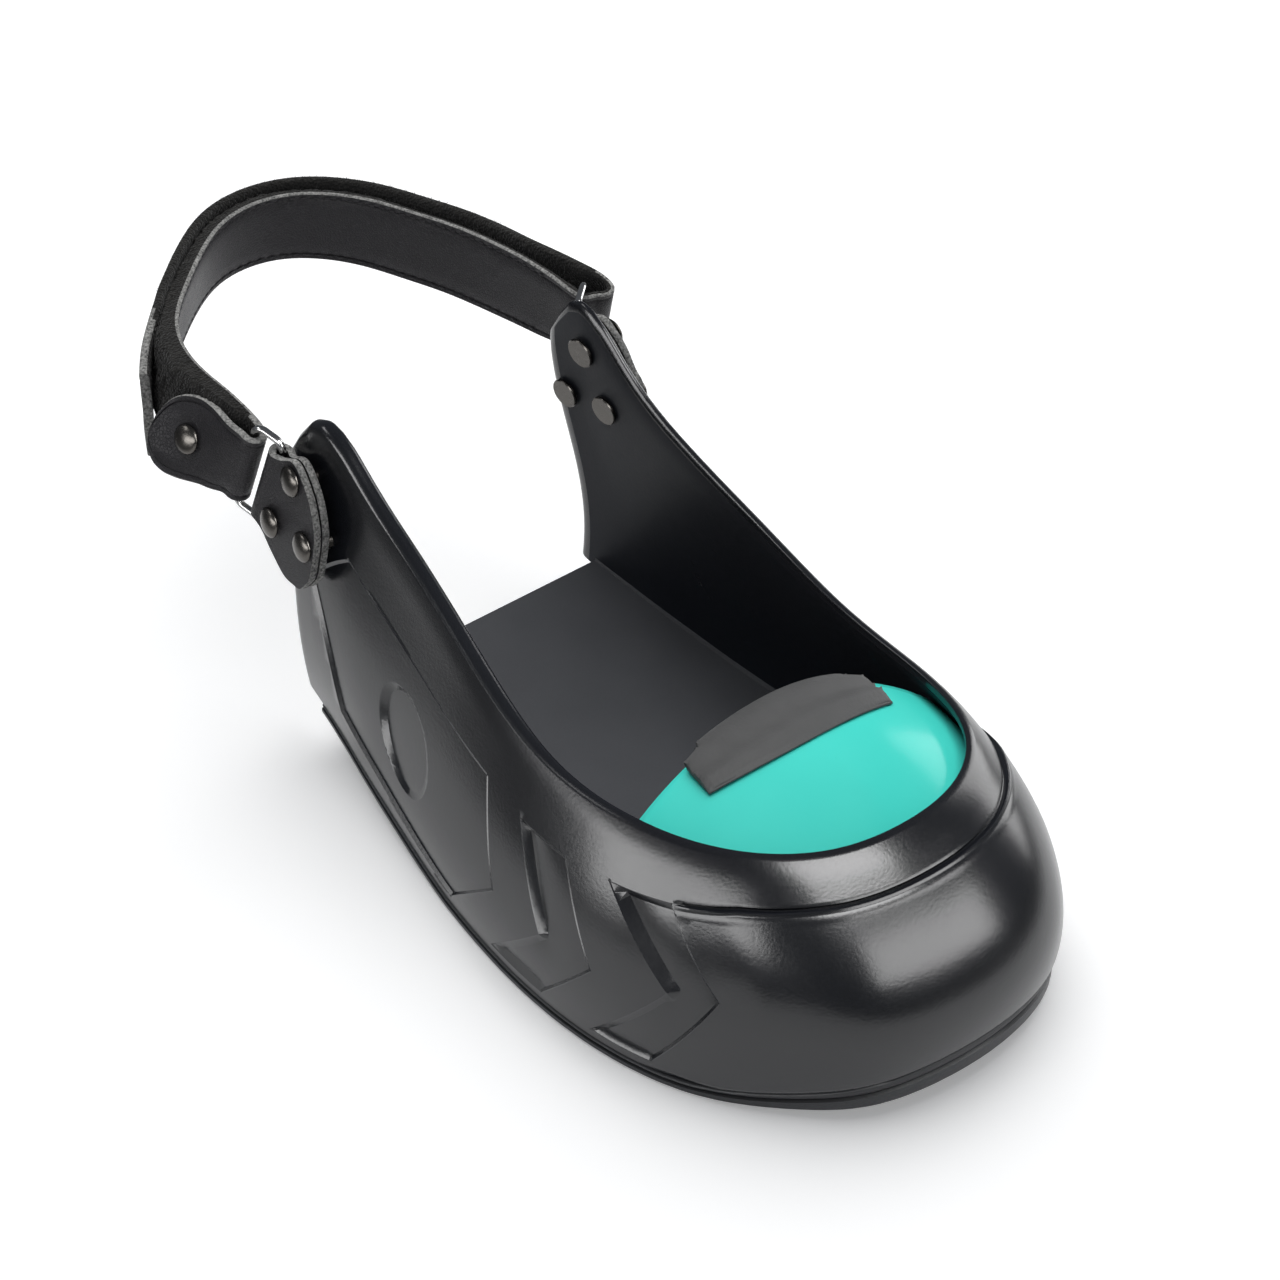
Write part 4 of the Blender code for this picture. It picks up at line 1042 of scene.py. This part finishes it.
def buildBand(name, rows, section, finishes, node, fuzz=None):
    # a row is the centre, the direction across, the low and high edges, the pile and the bare edge
    count, around = len(rows) - 1, len(section)
    centres, across = rows[:, :3], unit(rows[:, 3:6])
    low, high, pile = rows[:, 6], rows[:, 7], np.clip(rows[:, 8], 0, None)
    normal = unit(np.cross(np.gradient(centres, axis=0), across))
    sheet = flatSheet(count, around, count / 2, around)
    for face in sheet.faces:
        spot = face.calc_center_median()
        code = section[min(int(spot.y), around - 1)][4]
        face.material_index = edgeFinish(code, rows[int(spot.x + count / 2), 9])
    edges, insets, lifts, shares, _ = (np.array(values, float) for values in zip(*section))

    def place(along, turn, _):
        row = whole(along + count / 2)
        spot = whole(turn) % around
        middle, half = (low[row] + high[row]) / 2, (high[row] - low[row]) / 2
        inset = np.minimum(insets[spot], half * band["insetMost"])
        wide = middle + edges[spot] * half - np.sign(edges[spot]) * inset
        height = pile[row] * shares[spot]
        if fuzz:
            chance = np.random.default_rng(band["seed"])
            height = height * (1 + fuzz * chance.normal(size=len(row)))
        lift = lifts[spot] - height
        return centres[row] + across[row] * wide[:, None] + normal[row] * lift[:, None]

    placeAll(sheet, place)
    bmesh.ops.remove_doubles(sheet, verts=sheet.verts[:], dist=band["weld"])
    bmesh.ops.holes_fill(sheet, edges=[edge for edge in sheet.edges if edge.is_boundary], sides=0)
    for face in sheet.faces:
        if len(face.verts) > 4:
            face.material_index = 1
    return finishPiece(name, sheet, finishes, node, band["sharp"])


def barBend(thick):
    # from the middle of a bar to the middle of the leather round it
    return ring["wire"] + ring["barGap"] + thick / 2


def tabLayer(reach):
    # middle of a tab's layer off the plane of the bar
    flat = (tab["leather"] + tab["layerGap"]) / 2
    spread = barBend(tab["leather"]) - flat
    return flat + spread * fade(reach, tab["pinch"]) ** 2


def buildTab(hold, finishes):
    lowColumn = 1 if hold.side < 0 else 3
    rows = np.array(tab["rows"])
    coarse = np.arange(0, tab["fineFrom"], tab["step"])
    fine = np.arange(tab["fineFrom"], tab["fineTo"], tab["fineStep"])
    reach = np.concatenate([coarse, fine, rows[-1:, 0]])
    low, high = (spline(rows[:, 0], rows[:, lowColumn + c])(reach) for c in (0, 1))
    outer = [(-r, tabLayer(r), a, b) for r, a, b in zip(reach, low, high)][::-1]
    turn = arc(tabLayer(0.0), tab["foldTurn"], -tab["foldTurn"], tab["foldSteps"])
    fold = [(*spot, low[0], high[0]) for spot in turn]
    inner = [(along, -outward, a, b) for along, outward, a, b in reversed(outer)]
    made = []
    for along, outward, a, b in outer + fold + inner:
        centre = hold.tabBar + hold.along * along + hold.outward * outward
        made.append((*centre, *hold.bar, a, b, 0.0, 1.0))
    section, node = bandSection(tab["leather"] / 2, False), "wing_tab_" + hold.name
    buildBand("leather_tab_" + hold.name, np.array(made), section, finishes, node)


def buildRing(hold, finish):
    name, corner = "wire_ring_" + hold.name, ring["corner"]
    inset, far = ring["halfLength"] - corner, ring["span"] - corner
    centres = ((far, inset), (corner, inset), (corner, -inset), (far, -inset))
    places = []
    for (span, bar), start in zip(centres, (0, 90, 180, 270)):
        turn = arc(corner, start, start + 90, ring["cornerSteps"])
        places += [(span + s, bar + b) for s, b in turn]
    curve = bpy.data.curves.new(name, "CURVE")
    curve.dimensions = "3D"
    curve.bevel_depth, curve.bevel_resolution = ring["shown"] * mm, ring["roundness"]
    wire = curve.splines.new("POLY")
    wire.points.add(len(places) - 1)
    for point, (span, bar) in zip(wire.points, places):
        spot = settled @ Vector(hold.tabBar + hold.span * span + hold.bar * bar)
        point.co = (*(spot * mm), 1)
    wire.use_cyclic_u = wire.use_smooth = True
    addPiece(name, curve, [finish], "ring_" + hold.name)
    print("made", name)


def leaning(across, back):
    return unit(np.array((across, back, 1.0)))


class StrapLine:
    # middle of the strap's leather from the lateral bar to the medial bar, by distance along it
    def __init__(self, lateral, medial):
        bend = barBend(strap["leather"])
        rows = [points(across, back, up) for back, across, up, *_ in strap["rows"]]
        leans = [leaning(*row[3:]) for row in strap["rows"]]
        start, end = (hold.strapBar - hold.outward * bend for hold in (lateral, medial))
        rows, leans = np.vstack([start, *rows, end]), np.vstack([lateral.bar, *leans, medial.bar])
        places = runAlong(rows)
        self.length = places[-1]
        self.curves = [spline(places, rows[:, axis]) for axis in range(3)]
        self.leans = [spline(places, leans[:, axis]) for axis in range(3)]

    def at(self, place, lift=0.0):
        step = 0.5
        spot, before, after = (
            np.array([curve(np.clip(place + move, 0, self.length)) for curve in self.curves])
            for move in (0, -step, step)
        )
        run = after - before
        outward = np.array((-run[1], run[0], 0.0)) / np.hypot(run[0], run[1])
        return spot + outward * lift

    def wide(self, place):
        return unit(np.array([curve(place) for curve in self.leans]))


def strapRows(line, lateral, medial):
    rows = []

    def add(centre, wide, tall=strap["halfHeight"], pile=0.0, bare=0.0, over=0.0):
        rows.append((*centre, *wide, -tall, tall + over, pile, bare))

    for back, across, up, leanAcross, leanBack, tall in strap["flap"]:
        add(points(across, back, up), leaning(leanAcross, leanBack), tall, bare=1.0)
    fold = arc(barBend(strap["leather"]), strap["foldTurn"], -strap["foldTurn"], strap["foldSteps"])
    for along, outward in fold:
        spot = lateral.strapBar - lateral.along * along + lateral.outward * outward
        add(spot, lateral.bar, strap["foldHalf"], bare=1.0)
    for place in np.linspace(0, line.length, strap["steps"] + 1)[1:]:
        add(line.at(place), line.wide(place), pile=np.interp(place, *zip(*strap["pile"])))
    for forward, outward in strap["turn"]:
        add(medial.strapBar - medial.along * forward + medial.outward * outward, medial.bar)
    first, last = line.length - strap["returnLift"], strap["end"][0][0]
    pile, over = strap["returnPile"], strap["returnOver"]
    for place in np.linspace(first, last, strap["returnSteps"]):
        slack = fade(line.length - place, strap["slackRun"]) ** strap["slackPower"]
        lift = strap["returnLift"] + strap["returnSlack"] * slack
        add(line.at(place, lift), line.wide(place), pile=pile, bare=-1.0, over=over)
    for place, lift, drop, leanBack in strap["end"][1:]:
        spot = line.at(place, strap["returnLift"] + lift) - (0, 0, drop)
        add(spot, leaning(strap["endLean"], leanBack), pile=pile, bare=1.0)
    return densify(rows, strap["spacing"])


# Stitches and loose fibres of the strap

stitch = {
    "pitch": 3.4, "half": (1.15, 0.34, 0.3), "inset": 1.5, "first": 14.0, "last": 12.0,
    "sides": 6, "rings": 4, "sharp": 180.0,
}
fibre = {
    "count": 1500, "radius": 0.07, "length": (0.8, 2.2), "sides": 3, "seed": 11, "sharp": 60.0,
    "first": 58.0, "last": 34.0, "strapLifts": (0.9, 2.4), "returnLifts": (4.2, 5.8),
    "upperShare": 0.75, "returnShare": 0.6, "sunk": (0.2, 1.0), "stray": 0.55,
}


def turned(along, across, lift):
    return Matrix((along, across, lift)).transposed().to_4x4()


def buildStitches(line, finish):
    sheet = bmesh.new()
    tall, inside = strap["halfHeight"] - stitch["inset"], -strap["leather"] / 2
    for place in np.arange(stitch["first"], line.length - stitch["last"], stitch["pitch"]):
        wide = line.wide(place)
        along = unit(line.at(place + 0.5) - line.at(place - 0.5))
        frameTurn = turned(along, wide, np.cross(along, wide))
        for edge in (-tall, tall):
            spot = Matrix.Translation(Vector(line.at(place, inside) + wide * edge))
            size = Matrix.Diagonal((*stitch["half"], 1.0))
            bmesh.ops.create_uvsphere(
                sheet, u_segments=stitch["sides"], v_segments=stitch["rings"], radius=1.0,
                matrix=spot @ frameTurn @ size,
            )
    return finishPiece("strap_stitches", sheet, [finish], None, stitch["sharp"])


def buildFibres(line, finish):
    # short hairs that stand out of the pile at the strap's upper and lower edges
    sheet, chance = bmesh.new(), np.random.default_rng(fibre["seed"])
    for _ in range(fibre["count"]):
        place = chance.uniform(fibre["first"], line.length - fibre["last"])
        edge = 1.0 if chance.random() < fibre["upperShare"] else -1.0
        wide = line.wide(place)
        onReturn = chance.random() < fibre["returnShare"]
        lift = chance.uniform(*fibre["returnLifts" if onReturn else "strapLifts"])
        tall = strap["halfHeight"] + (strap["returnOver"] if onReturn and edge > 0 else 0.0)
        foot = line.at(place, lift) + wide * edge * (tall - chance.uniform(*fibre["sunk"]))
        lean = unit(wide * edge + chance.normal(0, fibre["stray"], 3))
        length = chance.uniform(*fibre["length"])
        spot = Matrix.Translation(Vector(foot + lean * length / 2))
        bmesh.ops.create_cone(
            sheet, cap_ends=True, segments=fibre["sides"], radius1=fibre["radius"], radius2=0.0,
            depth=length, matrix=spot @ facing(lean),
        )
    return finishPiece("strap_fibres", sheet, [finish], None, fibre["sharp"])


# Rivets, turned

rivet = {
    "rows": {
        "lateral": ((192.4, 84.5), (200.4, 68.7), (185.2, 70.0)),
        "medial": ((187.9, 90.0), (196.5, 72.8), (181.3, 74.7)),
    },
    "head": 4.0, "dome": 1.7, "brim": 0.12, "headEdge": (0.12, 0.1), "shank": 2.0,
    "disc": 4.2, "discThick": 0.8, "discEdges": (0.1, 0.25), "gap": 0.3, "flapGap": 0.75,
    "turns": 40, "sharp": 35.0,
}


def buildRivet(node, seat, axis, grip, finish):
    head, disc, brim, shank = (rivet[name] for name in ("head", "disc", "brim", "shank"))
    (inward, rise), (upper, lower) = rivet["headEdge"], rivet["discEdges"]
    profile = []
    for angle in np.radians(np.arange(0, 91, 10)):
        profile.append((head * math.sin(angle), rivet["dome"] * (brim + (1 - brim) * math.cos(angle))))
    foot = -grip - rivet["discThick"]
    profile += [(head, rise), (head - inward, 0.0), (shank, 0.0), (shank, -grip)]
    profile += [(disc - upper, -grip), (disc, -grip - upper), (disc, foot + lower)]
    profile += [(disc - lower, foot), (0.0, foot)]
    sheet = bmesh.new()
    verts = [sheet.verts.new((radius, 0, up)) for radius, up in profile]
    edges = [sheet.edges.new(pair) for pair in zip(verts, verts[1:])]
    bmesh.ops.spin(
        sheet, geom=verts + edges, cent=(0, 0, 0), axis=(0, 0, 1), dvec=(0, 0, 0),
        angle=2 * math.pi, steps=rivet["turns"], use_merge=True,
    )
    stand = Matrix.Translation(Vector(seat)) @ facing(axis)
    bmesh.ops.transform(sheet, matrix=stand, verts=sheet.verts[:])
    finishPiece(node.replace("rivet", "stud"), sheet, [finish], node, rivet["sharp"])


def discDepth(node, foot, axis):
    # how far below the head the disc starts, from the node's own box
    low, high = (np.array(corner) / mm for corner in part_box(node))
    far = high[0] if axis[0] < 0 else low[0]
    spread = rivet["disc"] * math.sqrt(1 - axis[0] ** 2)
    return (abs(far - foot[0]) - spread) / abs(axis[0]) - rivet["discThick"]


def buildTabRivets(hold, finish):
    for count, (back, up) in enumerate(rivet["rows"][hold.name], 1):
        spot = points(0.0, back, up) - hold.tabBar
        spot[0] = -(spot[1:] @ hold.outward[1:]) / hold.outward[0]
        lift = tabLayer(-spot @ hold.along - rivet["head"]) + tab["leather"] / 2 + rivet["gap"]
        foot = hold.tabBar + spot + hold.outward * lift
        node = f"tab_rivet_{hold.name}_{count}"
        buildRivet(node, foot, hold.outward, discDepth(node, foot, hold.outward), finish)


def buildFlapRivet(finish):
    spots = [points(across, back, up) for back, across, up, *_ in strap["flap"]]
    row = strap["flapRivetRow"]
    axis = unit(np.cross(spots[row + 1] - spots[row - 1], leaning(*strap["flap"][row][3:5])))
    foot = spots[row] + axis * (strap["leather"] / 2 + rivet["flapGap"])
    buildRivet("flap_rivet", foot, axis, discDepth("flap_rivet", foot, axis), finish)


# Camera, floor and light

view = {
    "azimuth": -41.478, "elevation": 39.466, "roll": 1.628, "distance": 690.97,
    "target": (4.66, 31.641, 47.913), "lens": 78.26, "sensor": 36.0,
}
softboxes = {  # azimuth, elevation and distance from the shoe, size, roll, power
    "front": (15, 20, 900, (860, 310), -8, 5.0),
    "high": (1, 48, 900, (620, 330), 0, 6.6),
    "side": (-84, 14, 900, (1150, 270), 17, 6.0),
    "right": (86, 14, 900, (520, 560), 0, 3.4),
    "rear": (-134, 32, 900, (300, 180), 0, 0.7),
    "top": (140, 72, 1100, (1300, 1300), 0, 14.9),
}
fillBox = "top"  # lights the shoe; the others are only mirrored in it
world = {"colour": (0.93, 0.98, 1.06, 1.0), "strength": 0.14}
# the floor's glow is painted light: a patch where the camera looks glows white, which lightens the
# shoe's shadows on the floor
floorLook = {
    "half": 6.0, "pale": 0.93, "glow": 0.28, "specular": 0.1,
    "rough": 0.75, "roughSpread": 0.1, "cloud": 3.0,
    "glowPatchHalf": 0.185, "widening": 0.19, "fade": 0.09, "beyond": 0.1,
}


def directionOf(azimuth, elevation):
    a, e = math.radians(azimuth), math.radians(elevation)
    return Vector((math.sin(a) * math.cos(e), -math.cos(a) * math.cos(e), math.sin(e)))


def placeCamera(scene):
    back = directionOf(view["azimuth"], view["elevation"])
    right = Vector((0, 0, 1)).cross(back).normalized()
    up = back.cross(right)
    roll = math.radians(view["roll"])
    upward = up * math.cos(roll) - right * math.sin(roll)
    right = right * math.cos(roll) + up * math.sin(roll)
    data = bpy.data.cameras.new("photoView")
    data.lens, data.sensor_width = view["lens"], view["sensor"]
    camera = bpy.data.objects.new("photoView", data)
    turn = turned(right, upward, back)
    spot = (Vector(view["target"]) + back * view["distance"]) * mm
    camera.matrix_world = Matrix.Translation(spot) @ turn
    scene.collection.objects.link(camera)
    scene.camera = camera
    return right


def layFloor(scene, right):
    sheet = bmesh.new()
    bmesh.ops.create_grid(sheet, x_segments=2, y_segments=2, size=floorLook["half"])
    mesh = bpy.data.meshes.new("floor")
    sheet.to_mesh(mesh)
    sheet.free()
    fixed = {"Specular IOR Level": floorLook["specular"], "Emission Strength": floorLook["glow"]}
    made, shader, place = newFinish("paleFloor", fixed)
    # pale and glowing as far as the camera sees it, darker and dimmer beyond to both sides; the glow is
    # painted light that brightens the floor and lightens the shadows on it
    onward = Vector((0, 0, 1)).cross(right)
    dot = {"operation": "DOT_PRODUCT"}
    aside = place.node("VectorMath", dot, {0: place, 1: right}, "Value")
    away = place.node("VectorMath", dot, {0: place, 1: onward}, "Value")
    share = aside.maths("ABSOLUTE", aside, 0.0) - away * floorLook["widening"] - floorLook["glowPatchHalf"]
    share = share * (1 / floorLook["fade"])
    feed(shader, colour=mixed(share, grey(floorLook["pale"]), grey(floorLook["beyond"])))
    feed(shader, glow=mixed(share, grey(1.0), grey(floorLook["beyond"])))
    rough = noise(place, floorLook["cloud"]) * floorLook["roughSpread"]
    feed(shader, roughness=floorLook["rough"] + rough)
    mesh.materials.append(made)
    floor = bpy.data.objects.new("floor", mesh)
    scene.collection.objects.link(floor)


def hangLights(scene):
    scene.world = bpy.data.worlds.new("studio")
    scene.world.use_nodes = True
    sky = scene.world.node_tree.nodes["Background"].inputs
    sky["Color"].default_value, sky["Strength"].default_value = world["colour"], world["strength"]
    for name, (azimuth, elevation, distance, size, roll, power) in softboxes.items():
        lamp = bpy.data.lights.new("softbox_" + name, "AREA")
        lamp.shape, lamp.energy = "RECTANGLE", power
        lamp.size, lamp.size_y = (side * mm for side in size)
        holder = bpy.data.objects.new("softbox_" + name, lamp)
        towards = directionOf(azimuth, elevation)
        holder.location = (Vector(view["target"]) + towards * distance) * mm
        turn = facing(towards) @ Matrix.Rotation(math.radians(roll), 4, "Z")
        holder.rotation_euler = turn.to_euler()
        holder.visible_diffuse, holder.visible_glossy = name == fillBox, name != fillBox
        scene.collection.objects.link(holder)


def buildStage():
    scene = bpy.context.scene
    scene.view_settings.view_transform = "Standard"
    layFloor(scene, placeCamera(scene))
    hangLights(scene)
    print("stage ready")


buildStage()
blackLeather, greyFibre = leatherFinish("blackLeather"), fibreFinish("cutEdge")
blackPile = pileFinish("loopPile")
brightWire, darkMetal = plainFinish("brightWire"), plainFinish("gunMetal")

buildUpper(rubberFinish("blackRubber"), rubberFinish("insideRubber"))
buildOutsole(rubberFinish("soleRubber"), rubberFinish("footbedRubber"))
buildCap(plainFinish("turquoisePaint"))
buildChannel(plainFinish("channelRubber"))
holds = {name: Ring(name) for name in ring["rows"]}
for hold in holds.values():
    buildTab(hold, [blackLeather, greyFibre])
    buildRing(hold, brightWire)
    buildTabRivets(hold, darkMetal)
strapLine = StrapLine(holds["lateral"], holds["medial"])
bandRows = strapRows(strapLine, holds["lateral"], holds["medial"])
strapFinishes = [blackLeather, greyFibre, blackPile]
strapSection = bandSection(strap["leather"] / 2, True)
buildBand(
    "leather_strap", bandRows, strapSection, strapFinishes, "heel_strap", strap["fuzz"]
)
buildFlapRivet(darkMetal)
buildStitches(strapLine, blackLeather)
buildFibres(strapLine, blackPile)
